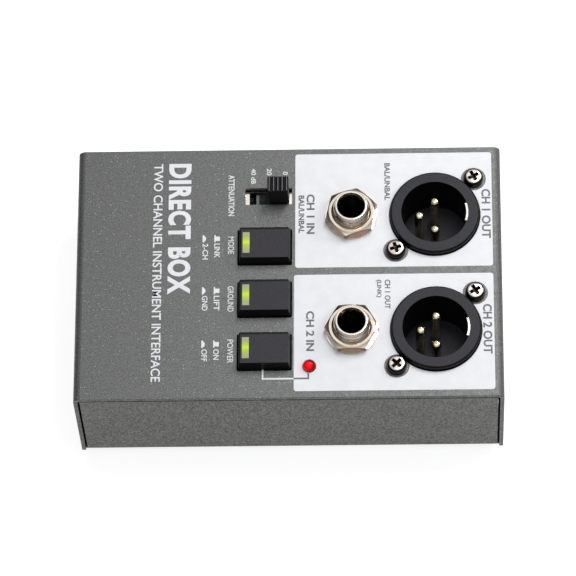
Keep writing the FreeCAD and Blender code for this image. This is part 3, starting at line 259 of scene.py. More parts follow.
def painted_steel():
    """Dark grey metallic paint with a mottle, stronger on the walls, bright flakes and an orange peel; the
    walls' darker colour is painted shade.
    """
    finish = Finish("grey_paint_finish", srgb(92, 93, 91), 0.46, metallic=0.5)
    mottle = finish.remap(finish.noise(**PAINT_MOTTLE), *PAINT_MOTTLE_RANGE)
    # Painted shade: the walls take a darker copy of the top's colour, chosen by the surface's slope.
    level = finish.mix(mottle, srgb(73, 74, 73), srgb(107, 108, 106))
    painted_shade_upright = finish.mix(mottle, srgb(44, 45, 44), srgb(110, 111, 108))
    colour = finish.mix(finish.facing_up(*PAINTED_SHADE_SLOPE), painted_shade_upright, level)
    distance, cell = finish.cells(FLAKE_SPACING)
    chosen = finish.remap(cell, *FLAKE_CHOICE, to_high=FLAKE_STRENGTH)
    flake = finish.times(chosen, finish.remap(distance, *FLAKE_EDGE, 1.0, 0.0))
    finish.feed("Base Color", finish.mix(flake, colour, srgb(190, 190, 186)))
    finish.feed("Roughness", finish.remap(finish.noise(grain=1.4), *WIDE_NOISE, *PAINT_ROUGHNESS))
    finish.bump(finish.noise(grain=0.35, detail=3.0), depth=0.02, strength=0.35)
    return finish.material


def printed(name, light, dark):
    """Screen-printed ink: nearly even, with slight changes of tone and a fine tooth."""
    finish = Finish(name, light, 0.5)
    tone = finish.remap(finish.noise(grain=3.0, detail=3.0), *MIDDLE_NOISE)
    finish.feed("Base Color", finish.mix(tone, dark, light))
    finish.bump(finish.noise(grain=0.3), depth=0.004, strength=0.3)
    return finish.material


METAL_GRAIN = 2.5
METAL_BUMP = 0.004
METAL_DULL = 1.2
METAL_POLISHED = 0.85


def metal(name, light, dark, roughness):
    """Plated or drawn metal: a slight change of tone, and roughness that varies with the polish."""
    finish = Finish(name, light, roughness, metallic=1.0)
    polish = finish.remap(finish.noise(METAL_GRAIN, detail=3.0), *MIDDLE_NOISE)
    finish.feed("Base Color", finish.mix(polish, dark, light))
    varied = finish.remap(polish, 0.0, 1.0, roughness * METAL_DULL, roughness * METAL_POLISHED)
    finish.feed("Roughness", varied)
    finish.bump(finish.noise(METAL_GRAIN), METAL_BUMP, strength=0.1)
    return finish.material


NICKEL_ROUGHNESS = (0.12, 0.085)
NICKEL_PAINTED_REFLECTION_SLOPE = (0.2, 0.6)
FLAT_SHADE = 0.88
UPRIGHT_SHADE = 0.7
THREAD_PITCH = 0.6


def turned_nickel(name, flat, painted_shade_upright, depth):
    """Bright nickel whose upright surfaces are turned in fine rings; flat and upright surfaces take lighter
    and darker tones of painted reflection and shade.
    """
    finish = Finish(name, flat, 0.1, metallic=1.0)
    polish = finish.remap(finish.noise(METAL_GRAIN, detail=3.0), *MIDDLE_NOISE)
    # Painted reflection and shade: flat surfaces take the light tone, upright ones the darker one, chosen by
    # the slope.
    bright = finish.mix(polish, shade(flat, FLAT_SHADE), flat)
    painted_shade_tone = finish.mix(polish, shade(painted_shade_upright, UPRIGHT_SHADE), painted_shade_upright)
    finish.feed("Base Color", finish.mix(finish.facing_up(*NICKEL_PAINTED_REFLECTION_SLOPE), painted_shade_tone, bright))
    finish.feed("Roughness", finish.remap(polish, 0.0, 1.0, *NICKEL_ROUGHNESS))
    turns = finish.node("ShaderNodeMath", operation="MULTIPLY")
    finish.link(finish.part_of(finish.place, "Z"), turns.inputs[0])
    turns.inputs[1].default_value = math.tau / (THREAD_PITCH * MM)
    wave = finish.node("ShaderNodeMath", operation="SINE")
    finish.link(turns.outputs["Value"], wave.inputs[0])
    finish.bump(finish.remap(wave.outputs["Value"], -1.0, 1.0), depth, strength=1.0)
    return finish.material


PLASTIC_ROUGHNESS_SHARES = (0.9, 1.1)


def plastic(name, light, dark, roughness, grain=0.25, depth=0.006, gloss=0.5):
    """Moulded plastic: even colour with a fine spark-eroded grain."""
    finish = Finish(name, light, roughness)
    finish.set("Specular IOR Level", gloss)
    tone = finish.remap(finish.noise(grain=2.5, detail=3.0), *MIDDLE_NOISE)
    finish.feed("Base Color", finish.mix(tone, dark, light))
    smooth, rough = (roughness * share for share in PLASTIC_ROUGHNESS_SHARES)
    varied = finish.remap(finish.noise(grain=1.0), *WIDE_NOISE, smooth, rough)
    finish.feed("Roughness", varied)
    finish.bump(finish.noise(grain), depth, strength=0.3)
    return finish.material


SATIN_GLOSS = 0.16
PAINTED_LIT_TOP_SHADES = (0.8, 1.2)
SATIN_ROUGHNESS_SHARES = (0.8, 1.2)
PAINTED_LIT_FADE = 0.2
PAINTED_SHADE_RIM_LEFT = (0.05, 0.065)
PAINTED_SHADE_RIM_BACK = (0.89, 0.87)


def moulding_with_painted_lit_top(name, top, side, roughness, steep=0.86, flat=0.97, above=None, rim=False):
    """Black moulding with polished sides and a satin top, whose lighter colour is painted light.

    The top's painted light can be kept to what lies above a height, and off a rim on the left and at the
    back, which stays dark as painted shade.
    """
    finish = Finish(name, side, roughness)
    finish.set("Specular IOR Level", SATIN_GLOSS)
    grain = finish.remap(finish.noise(grain=0.35, detail=4.0), *WIDE_NOISE)
    # Painted light: the colour is lighter only where the surface faces up; the sides stay near black.
    painted_lit_top = finish.mix(grain, *(shade(top, factor) for factor in PAINTED_LIT_TOP_SHADES))
    share = finish.facing_up(steep, flat)
    if above is not None:
        height = finish.part_of(finish.place, "Z")
        share = finish.times(share, finish.remap(height, (above - PAINTED_LIT_FADE) * MM, above * MM))
    if rim:
        # Painted shade: a dark rim along the left and the back of the top.
        for axis, edge in (("X", PAINTED_SHADE_RIM_LEFT), ("Y", PAINTED_SHADE_RIM_BACK)):
            share = finish.times(share, finish.remap(finish.part_of(finish.share, axis), *edge))
    finish.feed("Base Color", finish.mix(share, side, painted_lit_top))
    smooth, rough = (roughness * part for part in SATIN_ROUGHNESS_SHARES)
    finish.feed("Roughness", finish.remap(share, 0.0, 1.0, smooth, rough))
    finish.bump(finish.noise(grain=0.25), depth=0.006, strength=0.3)
    return finish.material


WINDOW_PALE = srgb(152, 160, 112)
WINDOW_MIDDLING = srgb(168, 188, 70)
WINDOW_STOPS = (
    (0.16, WINDOW_PALE),
    (0.38, WINDOW_MIDDLING),
    (0.52, srgb(186, 222, 8)),
    (0.66, WINDOW_MIDDLING),
    (0.84, WINDOW_PALE),
)


def lime_window():
    """A fluorescent lime insert that pales toward its two ends."""
    finish = Finish("green_window_finish", srgb(200, 240, 40), 0.35)
    ramp = finish.node("ShaderNodeValToRGB")
    finish.link(finish.part_of(finish.share, "Y"), ramp.inputs["Fac"])
    fill_ramp(ramp, WINDOW_STOPS)
    finish.feed("Base Color", ramp.outputs["Color"])
    finish.set("Specular IOR Level", 0.3)
    finish.bump(finish.noise(grain=0.2), depth=0.006, strength=0.3)
    return finish.material


LAMP_PAINTED_GLOW_SIDE = (-0.28, -0.40, 0.87)
LAMP_PAINTED_GLOW_EDGE = (0.5, 0.9)


def lit_red_lens():
    """A clear red lamp lens, lit from inside; its brightness to the front left and its dark rim are painted
    light and shade.
    """
    finish = Finish("red_lens_finish", srgb(215, 8, 6), 0.14)
    # Painted light and shade: brighter where the lens faces the front left, dark red round its rim.
    toward = finish.node("ShaderNodeVectorMath", operation="DOT_PRODUCT")
    finish.link(finish.normal, toward.inputs[0])
    toward.inputs[1].default_value = LAMP_PAINTED_GLOW_SIDE
    share = finish.remap(toward.outputs["Value"], *LAMP_PAINTED_GLOW_EDGE)
    tone = finish.remap(finish.noise(grain=1.2), *MIDDLE_NOISE, to_low=0.85)
    glow = finish.mix(finish.times(share, tone), srgb(84, 0, 3), srgb(220, 3, 2))
    finish.feed("Base Color", glow)
    finish.feed("Emission Color", glow)
    finish.set("Emission Strength", 0.6)
    finish.set("Specular IOR Level", 0.25)
    return finish.material


PAN_PAINTED_HIGHLIGHT_RISE = (1.2, 1.6)
PAN_PAINTED_HIGHLIGHT_SLOPE = (0.87, 0.95)
PAN_ROUGHNESS = (0.15, 0.1)


def pan_head():
    """Polished nickel with a painted highlight on its raised crown and painted shade on its flanks and in its
    recess.
    """
    finish = Finish("nickel_screw_finish", srgb(150, 138, 130), 0.12, metallic=1.0)
    height = finish.part_of(finish.place, "Z")
    low, high = ((PANEL_TOP + rise) * MM for rise in PAN_PAINTED_HIGHLIGHT_RISE)
    # Painted highlight on the high, flat crown; everything else takes the dark colour as painted shade.
    crown = finish.times(finish.remap(height, low, high), finish.facing_up(*PAN_PAINTED_HIGHLIGHT_SLOPE))
    polish = finish.remap(finish.noise(grain=1.5, detail=3.0), *MIDDLE_NOISE)
    bright = finish.mix(polish, srgb(196, 186, 176), srgb(228, 220, 210))
    finish.feed("Base Color", finish.mix(crown, srgb(52, 44, 40), bright))
    finish.feed("Roughness", finish.remap(polish, 0.0, 1.0, *PAN_ROUGHNESS))
    finish.bump(finish.noise(METAL_GRAIN), METAL_BUMP, strength=0.1)
    return finish.material


WEAVE = {"grain": 0.35, "detail": 1.0, "stretch": (1.0, 6.0, 1.0)}


def laminate():
    """Green lacquered glass-fibre board with the weave showing faintly."""
    finish = Finish("board_finish", srgb(24, 92, 52), 0.35)
    weave = finish.remap(finish.noise(**WEAVE), *MIDDLE_NOISE)
    finish.feed("Base Color", finish.mix(weave, srgb(18, 76, 42), srgb(36, 110, 62)))
    finish.bump(weave, depth=0.01, strength=0.3)
    return finish.material


BATTERY_BAND_EDGE = (0.70, 0.705)


def wrapped_cell():
    """The battery's printed steel wrap: black with a copper band at its terminal end."""
    finish = Finish("battery_finish", srgb(30, 30, 34), 0.3, metallic=0.3)
    band = finish.remap(finish.part_of(finish.share, "Y"), *BATTERY_BAND_EDGE)
    scuff = finish.remap(finish.noise(grain=1.5, detail=4.0), *MIDDLE_NOISE)
    body = finish.mix(scuff, srgb(24, 24, 28), srgb(40, 40, 46))
    finish.feed("Base Color", finish.mix(band, body, srgb(190, 120, 60)))
    finish.bump(finish.noise(grain=0.6), depth=0.006, strength=0.3)
    return finish.material


# The slider's knob gets its painted light only on the ribs at its top, this far above the panel.
KNOB_PAINTED_LIT_RISE = 7.1

# One finish for each material slot of the model, with its colours and its roughness.
FINISHES = {
    "grey_paint": painted_steel(),
    "white_print": printed("white_print_finish", srgb(217, 218, 221), srgb(212, 213, 216)),
    "grey_print": printed("grey_print_finish", srgb(92, 95, 99), srgb(80, 83, 87)),
    "plated_screw": metal("plated_screw_finish", srgb(150, 148, 144), srgb(110, 108, 104), 0.3),
    "nickel_screw": pan_head(),
    # Each nickel's second colour is the upright surfaces' painted reflection and shade.
    "nickel": turned_nickel("nickel_finish", srgb(250, 241, 230), srgb(246, 232, 212), 0.05),
    "nickel_nut": turned_nickel("nickel_nut_finish", srgb(240, 226, 208), srgb(150, 122, 98), 0.02),
    "gold_contact": metal("gold_contact_finish", srgb(250, 238, 208), srgb(232, 214, 172), 0.16),
    "tinned_metal": metal("tinned_metal_finish", srgb(206, 208, 210), srgb(170, 172, 176), 0.3),
    # Each moulding's first colour is its top's painted light, its second the sides' colour.
    "black_moulding": moulding_with_painted_lit_top("black_moulding_finish", srgb(43, 42, 47), srgb(8, 8, 9), 0.42),
    "black_button": moulding_with_painted_lit_top("black_button_finish", srgb(45, 43, 48), srgb(8, 8, 9), 0.36, rim=True),
    "black_knob": moulding_with_painted_lit_top(
        "black_knob_finish", srgb(104, 104, 108), srgb(8, 8, 9), 0.4,
        steep=0.96, flat=0.995, above=PANEL_TOP + KNOB_PAINTED_LIT_RISE,
    ),
    "green_window": lime_window(),
    "red_lens": lit_red_lens(),
    "black_rubber": plastic(
        "black_rubber_finish", srgb(34, 34, 34), srgb(22, 22, 22), 0.8, grain=0.4, depth=0.03, gloss=0.3
    ),
    "battery_wrap": wrapped_cell(),
    "red_vinyl": plastic("red_vinyl_finish", srgb(176, 24, 22), srgb(150, 16, 16), 0.45),
    "black_vinyl": plastic("black_vinyl_finish", srgb(30, 30, 32), srgb(20, 20, 22), 0.45),
    "board_laminate": laminate(),
    "chip_epoxy": plastic("chip_epoxy_finish", srgb(38, 38, 40), srgb(28, 28, 30), 0.6),
    "capacitor_sleeve": plastic("capacitor_sleeve_finish", srgb(28, 34, 70), srgb(20, 24, 54), 0.35),
    "capacitor_box": plastic("capacitor_box_finish", srgb(176, 52, 36), srgb(150, 42, 30), 0.4),
    "resistor_body": plastic("resistor_body_finish", srgb(120, 168, 188), srgb(96, 146, 168), 0.4),
    "wafer_phenolic": plastic("wafer_phenolic_finish", srgb(16, 15, 15), srgb(10, 9, 9), 0.5, gloss=0.2),
    "white_nylon": plastic("white_nylon_finish", srgb(236, 234, 226), srgb(220, 218, 210), 0.45),
}


def dress(piece, slot):
    """Gives a piece the finish of a material slot of the model."""
    piece.data.materials.clear()
    piece.data.materials.append(FINISHES[slot])


def dress_cad_nodes():
    """Puts the finishes on the material slots of every carried-over CAD node."""
    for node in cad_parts.values():
        for place in node.material_slots:
            slot = place.material.name.split(".")[0]
            place.material = FINISHES[slot]


# ---------------------------------------------------------------- mesh helpers


def piece_from_bmesh(name, mesh):
    """A new object that owns the finished mesh, given in millimetres."""
    bmesh.ops.scale(mesh, vec=(MM, MM, MM), verts=mesh.verts)
    bmesh.ops.recalc_face_normals(mesh, faces=mesh.faces)
    data = bpy.data.meshes.new(name)
    mesh.to_mesh(data)
    mesh.free()
    piece = bpy.data.objects.new(name, data)
    bpy.context.scene.collection.objects.link(piece)
    return piece


def prism(mesh, outline, low, high):
    """A closed prism between two heights over an outline of (x, y) points."""
    bottom = [mesh.verts.new((x, y, low)) for x, y in outline]
    top = [mesh.verts.new((x, y, high)) for x, y in outline]
    mesh.faces.new(top)
    mesh.faces.new(bottom[::-1])
    for index in range(len(outline)):
        after = (index + 1) % len(outline)
        mesh.faces.new((bottom[index], bottom[after], top[after], top[index]))


CORNER_STEPS = 10
CIRCLE_STEPS = 96


def rounded_rectangle(x_low, x_high, y_low, y_high, radius):
    """The outline of a rectangle whose corners are arcs."""
    corners = (
        (x_high - radius, y_high - radius, 0),
        (x_low + radius, y_high - radius, 90),
        (x_low + radius, y_low + radius, 180),
        (x_high - radius, y_low + radius, 270),
    )
    outline = []
    for x, y, start in corners:
        for step in range(CORNER_STEPS + 1):
            angle = math.radians(start + 90 * step / CORNER_STEPS)
            outline.append((x + radius * math.cos(angle), y + radius * math.sin(angle)))
    return outline


def circle(x, y, radius):
    """The outline of a circle."""
    angles = [math.tau * step / CIRCLE_STEPS for step in range(CIRCLE_STEPS)]
    return [(x + radius * math.cos(angle), y + radius * math.sin(angle)) for angle in angles]


def cut(piece, cutters):
    """Takes each cutter's volume out of a piece, and removes the cutters."""
    for cutter in cutters:
        modifier = piece.modifiers.new("cut", "BOOLEAN")
        modifier.operation = "DIFFERENCE"
        modifier.solver = "EXACT"
        modifier.object = cutter
    bpy.context.view_layer.update()
    evaluated = piece.evaluated_get(bpy.context.evaluated_depsgraph_get())
    data = bpy.data.meshes.new_from_object(evaluated)
    piece.modifiers.clear()
    piece.data = data
    for cutter in cutters:
        bpy.data.objects.remove(cutter)


# ---------------------------------------------------------------- printing on the panel

# Ink stands this far above the surface it is printed on, and as far below.
INK = 0.03
DRILL_REACH = 4 * INK
LABEL_LEFT = {"channel_1": 1.6, "channel_2": 1.3}
LABEL_RIGHT = 50.3
LABEL_Y = {"channel_1": (1.1, 32.3), "channel_2": (-32.05, -0.85)}
LABEL_CORNER = 0.7
OUTPUT_RING_RADIUS = 11.05
SCREW_HEAD_RADIUS = 2.45
BARE_RING = 0.3
BARE_SCREW_RADIUS = 3.1
WASHER_COVER = 0.5
LAMP_HOLE_RADIUS = 1.72


def ring_place(channel):
    """Where a channel's output ring stands: the middle of its housing."""
    housing = centre(channel + "_output_housing")
    return housing.x, housing.y


def channel_label(channel):
    """The white field behind one channel, left unprinted round its sockets and screws."""
    field = bmesh.new()
    outline = rounded_rectangle(LABEL_LEFT[channel], LABEL_RIGHT, *LABEL_Y[channel], LABEL_CORNER)
    prism(field, outline, PANEL_TOP - INK, PANEL_TOP + INK)
    label = piece_from_bmesh(channel + "_label", field)
    holes = [(*ring_place(channel), OUTPUT_RING_RADIUS + BARE_RING)]
    low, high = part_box(channel + "_output_screws")
    for side, corner in ((-1, low / MM), (1, high / MM)):
        x = corner.x - side * SCREW_HEAD_RADIUS
        y = corner.y - side * SCREW_HEAD_RADIUS
        holes.append((x, y, BARE_SCREW_RADIUS))
    low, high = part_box(channel + "_input_washer")
    washer = centre(channel + "_input_washer")
    holes.append((washer.x, washer.y, (high.x - low.x) / 2 / MM - WASHER_COVER))
    if channel == "channel_2":
        lamp = centre("power_lamp_lens")
        holes.append((lamp.x, lamp.y, LAMP_HOLE_RADIUS))
    cutters = []
    for x, y, radius in holes:
        drill = bmesh.new()
        prism(drill, circle(x, y, radius), PANEL_TOP - DRILL_REACH, PANEL_TOP + DRILL_REACH)
        cutters.append(piece_from_bmesh("drill", drill))
    cut(label, cutters)
    dress(label, "white_print")
    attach(label, "case")


# How far the strokes are thickened, as a share of the letters' size.
PRINT_BOLD = 0.014
LABEL_BOLD = 0.028
TITLE_BOLD = 0.044
TITLE_SPACING = 1.12
LETTER_STEPS = 4


def letters(text, boldness, spacing):
    """The mesh of a line of text in the built-in font, extruded from -1 to 1."""
    curve = bpy.data.curves.new("text", "FONT")
    curve.body = text
    curve.size = 1.0
    curve.extrude = 1.0
    curve.offset = boldness
    curve.space_character = spacing
    curve.resolution_u = LETTER_STEPS
    holder = bpy.data.objects.new("text", curve)
    bpy.context.scene.collection.objects.link(holder)
    bpy.context.view_layer.update()
    data = bpy.data.meshes.new_from_object(holder.evaluated_get(bpy.context.evaluated_depsgraph_get()))
    bpy.data.objects.remove(holder)
    bpy.data.curves.remove(curve)
    return data


def add_text(mesh, text, base_x, cap_height, start_y, end_y, surface, boldness, spacing=1.0):
    """Prints text that reads toward -Y with its tops toward +X, fitted to its height and run."""
    data = letters(text, boldness, spacing)
    points = [vertex.co for vertex in data.vertices]
    left = min(point.x for point in points)
    right = max(point.x for point in points)
    bottom = min(point.y for point in points)
    top = max(point.y for point in points)
    run_scale = (start_y - end_y) / (right - left)
    height_scale = cap_height / (top - bottom)
    made = []
    for point in points:
        x = base_x + (point.y - bottom) * height_scale
        y = start_y - (point.x - left) * run_scale
        made.append(mesh.verts.new((x, y, surface + INK * point.z)))
    for polygon in data.polygons:
        mesh.faces.new([made[index] for index in polygon.vertices])
    bpy.data.meshes.remove(data)


ICON_LENGTH = 1.95
ICON_BASE = 0.3
ICON_BLOCK = (0.42, 1.6)
ICON_OUT_HEIGHT = 1.4
ICON_IN_HEIGHT = 0.85


def add_icon(mesh, base_x, start_y, pressed):
    """The sign for a push switch that stands out or is pressed in, seen from the side."""
    end_y = start_y - ICON_LENGTH
    near = start_y - ICON_BLOCK[0]
    far = start_y - ICON_BLOCK[1]
    base = base_x + ICON_BASE
    if pressed:
        crown = base_x + ICON_IN_HEIGHT
        inset = (ICON_BLOCK[1] - ICON_BLOCK[0]) / 4
        outline = (
            (base_x, start_y), (base_x, end_y), (base, end_y), (crown, far + inset),
            (crown, near - inset), (base, start_y),
        )
    else:
        crown = base_x + ICON_OUT_HEIGHT
        outline = (
            (base_x, start_y), (base_x, end_y), (base, end_y), (base, far),
            (crown, far), (crown, near), (base, near), (base, start_y),
        )
    prism(mesh, outline, PANEL_TOP - INK, PANEL_TOP + INK)


def add_line(mesh, points, surface):
    """A printed line of straight runs along X or Y: each bar covers the corner at its end."""
    half = LEADER_WIDTH / 2
    for (x0, y0), (x1, y1) in zip(points, points[1:]):
        run = math.hypot(x1 - x0, y1 - y0)
        x0 += LEADER_WIDTH * (x1 - x0) / run
        y0 += LEADER_WIDTH * (y1 - y0) / run
        left = min(x0, x1) - half
        right = max(x0, x1) + half
        front = min(y0, y1) - half
        back = max(y0, y1) + half
        outline = ((left, front), (right, front), (right, back), (left, back))
        prism(mesh, outline, surface - INK, surface + INK)


# Each line of text, with its base's X, its cap height and the Y where it starts and ends.
TITLE = ("DIRECT BOX", -29.9, 5.7, 30.1, -5.7)
SUBTITLE = ("TWO CHANNEL INSTRUMENT INTERFACE", -33.6, 2.3, 30.1, -29.2)
SWITCH_TITLES = (
    ("ATTENUATION", -15.0, 1.5, 26.8, 15.5),
    ("MODE", -15.0, 1.5, 9.8, 5.1),
    ("GROUND", -15.0, 1.5, -3.7, -10.6),
    ("POWER", -15.0, 1.5, -18.1, -24.4),
)
OUT_BASE_X = -18.4
IN_BASE_X = -21.3
STATE_HEIGHT = 1.4
ICON_LEAD = 2.35
# For each button: the words for out and in, the Y where the signs start, and how long each word runs.
STATE_WORDS = (
    ("LINK", "2-CH", 10.3, 3.9, 4.3),
    ("LIFT", "GND", -3.9, 4.0, 4.0),
    ("ON", "OFF", -18.3, 2.8, 3.2),
)
# Each dial number, with the Y where it starts, its base's X and how long it runs.
DIAL_NUMBERS = (("40 dB", 28.5, -9.4, 4.2), ("20", 28.5, -5.5, 1.9), ("0", 27.6, -1.5, 0.9))
DIAL_HEIGHT = 1.2
LEADER_X = (-6.27, 4.85)
LEADER_Y = (-25.8, -28.7)
LEADER_WIDTH = 0.42


def white_lettering():
    """Everything printed in white on the grey paint: title, switch names, states, dial and leader."""
    mesh = bmesh.new()
    add_text(mesh, *TITLE, PANEL_TOP, TITLE_BOLD, TITLE_SPACING)
    for words in (SUBTITLE, *SWITCH_TITLES):
        add_text(mesh, *words, PANEL_TOP, PRINT_BOLD)
    for out_word, in_word, start_y, out_run, in_run in STATE_WORDS:
        word_y = start_y - ICON_LEAD
        add_icon(mesh, OUT_BASE_X, start_y, False)
        add_icon(mesh, IN_BASE_X, start_y, True)
        for word, base_x, run in ((out_word, OUT_BASE_X, out_run), (in_word, IN_BASE_X, in_run)):
            add_text(mesh, word, base_x, STATE_HEIGHT, word_y, word_y - run, PANEL_TOP, PRINT_BOLD)
    for number, start_y, base_x, run in DIAL_NUMBERS:
        add_text(mesh, number, base_x, DIAL_HEIGHT, start_y, start_y - run, PANEL_TOP, PRINT_BOLD)
    leader = (
        (LEADER_X[0], LEADER_Y[0]), (LEADER_X[0], LEADER_Y[1]),
        (LABEL_LEFT["channel_2"] - LEADER_WIDTH / 2, LEADER_Y[1]),
    )
    add_line(mesh, leader, PANEL_TOP)
    piece = piece_from_bmesh("panel_lettering", mesh)
    dress(piece, "white_print")
    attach(piece, "case")


# Each line of text, with its base's X, its cap height and the Y where it starts and ends.
CHANNEL_WORDS = {
    "channel_1": (
        ("CH 1 OUT", 47.7, 2.2, 22.1, 8.6),
        ("CH 1 IN", 4.4, 2.0, 21.2, 10.3),
        ("BAL/UNBAL", 2.4, 1.45, 20.9, 10.5),
        ("BAL/UNBAL", 23.7, 1.4, 29.6, 19.3),
    ),
    "channel_2": (
        ("CH 2 OUT", 47.6, 2.2, -9.3, -22.6),
        ("CH 2 IN", 4.3, 2.0, -10.7, -21.4),
        ("CH 1 OUT", 23.6, 1.4, -2.4, -10.3),
        ("(LINK)", 21.4, 1.4, -2.4, -7.2),
    ),
}


def label_lettering(channel):
    """The dark words printed on one channel's white field, with the end of the lamp's leader."""
    mesh = bmesh.new()
    surface = PANEL_TOP + INK
    for words in CHANNEL_WORDS[channel]:
        add_text(mesh, *words, surface, LABEL_BOLD)
    if channel == "channel_2":
        lamp_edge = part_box("power_lamp_lens")[0].y / MM
        leader = (
            (LABEL_LEFT["channel_2"] - LEADER_WIDTH / 2, LEADER_Y[1]), (LEADER_X[1], LEADER_Y[1]),
            (LEADER_X[1], lamp_edge),
        )
        add_line(mesh, leader, surface)
    piece = piece_from_bmesh(channel + "_lettering", mesh)
    dress(piece, "grey_print")
    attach(piece, "case")


MARK_X = -7.8
MARK_Y = (19.4, 22.2)
MARK_WIDTH = 0.7
MARK_CORNER = MARK_WIDTH / 4
MARK_SURFACE = PANEL_TOP - 2.25


def carrier_mark():
    """The pale mark on the slide switch's carrier, beside the knob."""
    mesh = bmesh.new()
    outline = rounded_rectangle(MARK_X - MARK_WIDTH / 2, MARK_X + MARK_WIDTH / 2, *MARK_Y, MARK_CORNER)
    prism(mesh, outline, MARK_SURFACE - INK, MARK_SURFACE + INK)
    piece = piece_from_bmesh("attenuation_carrier_mark", mesh)
    dress(piece, "grey_print")
    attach(piece, "attenuation_slider")


# ---------------------------------------------------------------- switch springs

SPRING_WIRE = 0.22
SPRING_TURNS = 6.5
SPRING_CLOSED_TURN = 1.0
SPRING_STEPS = 40
WIRE_STEPS = 10


def switch_spring(switch):
    """A wound return spring with closed ends."""
    node = switch + "_switch_spring"
    low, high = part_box(node)
    axis = centre(node)
    radius = (high.x - low.x) / 2 / MM - SPRING_WIRE
    bottom = low.z / MM + SPRING_WIRE
    height = high.z / MM - SPRING_WIRE - bottom
    closed_rise = 2 * SPRING_WIRE * SPRING_CLOSED_TURN
    open_turns = SPRING_TURNS - 2 * SPRING_CLOSED_TURN
    count = int(SPRING_TURNS * SPRING_STEPS)
    mesh = bmesh.new()
    rings = []
    for step in range(count + 1):
        turn = SPRING_TURNS * step / count
        angle = math.tau * turn
        if turn < SPRING_CLOSED_TURN:
            rise = closed_rise * turn / SPRING_CLOSED_TURN
        elif turn > SPRING_TURNS - SPRING_CLOSED_TURN:
            rise = height - closed_rise * (SPRING_TURNS - turn) / SPRING_CLOSED_TURN
        else:
            rise = closed_rise + (height - 2 * closed_rise) * (turn - SPRING_CLOSED_TURN) / open_turns
        ring = []
        for side in range(WIRE_STEPS):
            around = math.tau * side / WIRE_STEPS
            reach = radius + SPRING_WIRE * math.cos(around)
            ring.append(mesh.verts.new((
                axis.x + reach * math.cos(angle),
                axis.y + reach * math.sin(angle),
                bottom + rise + SPRING_WIRE * math.sin(around),
            )))
        rings.append(ring)
    for ring, following in zip(rings, rings[1:]):
        for side in range(WIRE_STEPS):
            after = (side + 1) % WIRE_STEPS
            mesh.faces.new((ring[side], ring[after], following[after], following[side]))
    mesh.faces.new(rings[0])
    mesh.faces.new(rings[-1])
    spring = piece_from_bmesh(switch + "_return_spring", mesh)
    for polygon in spring.data.polygons:
        polygon.use_smooth = len(polygon.vertices) == 4
    dress(spring, "nickel")
    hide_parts(node)
    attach(spring, "case")
    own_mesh(spring)


# ---------------------------------------------------------------- stage and light

FLOOR_RADIUS = 20.0
FLOOR_STEPS = 96
FLOOR_GREY = srgb(180, 180, 180)
FLOOR_FAR_GREY = srgb(190, 190, 190)
# The floor lies this far under the feet, so that the two never share a plane.
FLOOR_DROP = 0.05
POOL_CENTRE = (0.08, 0.02, 0.0)
POOL_EDGE = (0.185, 0.29)
POOL_GLOW = 0.8


def add_floor():
    """A pale floor under the feet, which glows a little round the object so that the shadows stay light."""
    mesh = bmesh.new()
    bmesh.ops.create_circle(mesh, cap_ends=True, radius=FLOOR_RADIUS, segments=FLOOR_STEPS)
    data = bpy.data.meshes.new("floor")
    mesh.to_mesh(data)
    mesh.free()
    floor = bpy.data.objects.new("floor", data)
    floor.location.z = cad_box[0][2] - FLOOR_DROP * MM
    bpy.context.scene.collection.objects.link(floor)
    finish = Finish("floor_finish", FLOOR_GREY, 0.9)
    distance = finish.node("ShaderNodeVectorMath", operation="DISTANCE")
    finish.link(finish.place, distance.inputs[0])
    distance.inputs[1].default_value = POOL_CENTRE
    pool = finish.remap(distance.outputs["Value"], *POOL_EDGE, 1.0, 0.0)
    finish.feed("Base Color", finish.mix(pool, FLOOR_FAR_GREY, FLOOR_GREY))
    finish.feed("Emission Color", finish.mix(pool, (0.0, 0.0, 0.0), (1.0, 1.0, 1.0)))
    finish.set("Emission Strength", POOL_GLOW)
    floor.data.materials.append(finish.material)


def softbox(name, place, target, width, depth, watts):
    """A rectangular diffuse lamp that faces its target, in metres."""
    data = bpy.data.lights.new(name, "AREA")
    data.shape = "RECTANGLE"
    data.size = width
    data.size_y = depth
    data.energy = watts
    lamp = bpy.data.objects.new(name, data)
    lamp.location = place
    lamp.rotation_euler = (Vector(target) - Vector(place)).to_track_quat("-Z", "Y").to_euler()
    lamp.visible_camera = False
    bpy.context.scene.collection.objects.link(lamp)


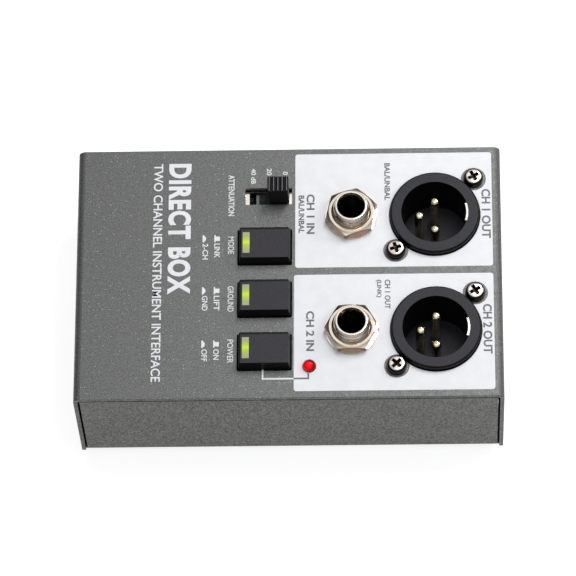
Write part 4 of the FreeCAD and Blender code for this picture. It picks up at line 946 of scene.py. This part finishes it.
# The room's brightness by the sine of the height above the horizon.
ROOM_TONES = (
    (0.02, (0.10, 0.085, 0.07)),
    (0.20, (0.20, 0.175, 0.15)),
    (0.40, (0.74, 0.73, 0.72)),
    (0.70, (0.92, 0.92, 0.94)),
    (0.84, (1.64, 1.66, 1.71)),
)
# The room is dimmed toward the left: its strength rises between two places along X.
ROOM_SIDE = (-0.9, -0.2)
ROOM_STRENGTH = (0.12, 0.58)
# Each softbox: its name, place, target, width, depth and power.
SOFTBOXES = (
    ("key", (0.11, 0.17, 0.44), (0.05, -0.01, 0.03), 0.08, 0.30, 1.2),
    ("right_fill", (0.52, 0.24, 0.44), (0.02, 0.0, 0.03), 0.30, 0.30, 1.1),
)


def light_studio():
    """A room bright overhead, dark at the horizon and to the left, with a key light and a fill."""
    world = bpy.data.worlds.new("studio")
    world.use_nodes = True
    tree = world.node_tree
    background = tree.nodes["Background"]
    direction = tree.nodes.new("ShaderNodeTexCoord")
    split = tree.nodes.new("ShaderNodeSeparateXYZ")
    ramp = tree.nodes.new("ShaderNodeValToRGB")
    tree.links.new(direction.outputs["Generated"], split.inputs["Vector"])
    tree.links.new(split.outputs["Z"], ramp.inputs["Fac"])
    tree.links.new(ramp.outputs["Color"], background.inputs["Color"])
    fill_ramp(ramp, ROOM_TONES)
    strength = tree.nodes.new("ShaderNodeMapRange")
    tree.links.new(split.outputs["X"], strength.inputs["Value"])
    strength.inputs["From Min"].default_value = ROOM_SIDE[0]
    strength.inputs["From Max"].default_value = ROOM_SIDE[1]
    strength.inputs["To Min"].default_value = ROOM_STRENGTH[0]
    strength.inputs["To Max"].default_value = ROOM_STRENGTH[1]
    tree.links.new(strength.outputs["Result"], background.inputs["Strength"])
    bpy.context.scene.world = world
    for settings in SOFTBOXES:
        softbox(*settings)


# ---------------------------------------------------------------- the scene

add_camera()
dress_cad_nodes()
white_lettering()
for name in CHANNELS:
    channel_label(name)
    label_lettering(name)
carrier_mark()
for name in SWITCHES:
    switch_spring(name)
add_floor()
light_studio()
bpy.context.scene.view_settings.view_transform = "Standard"
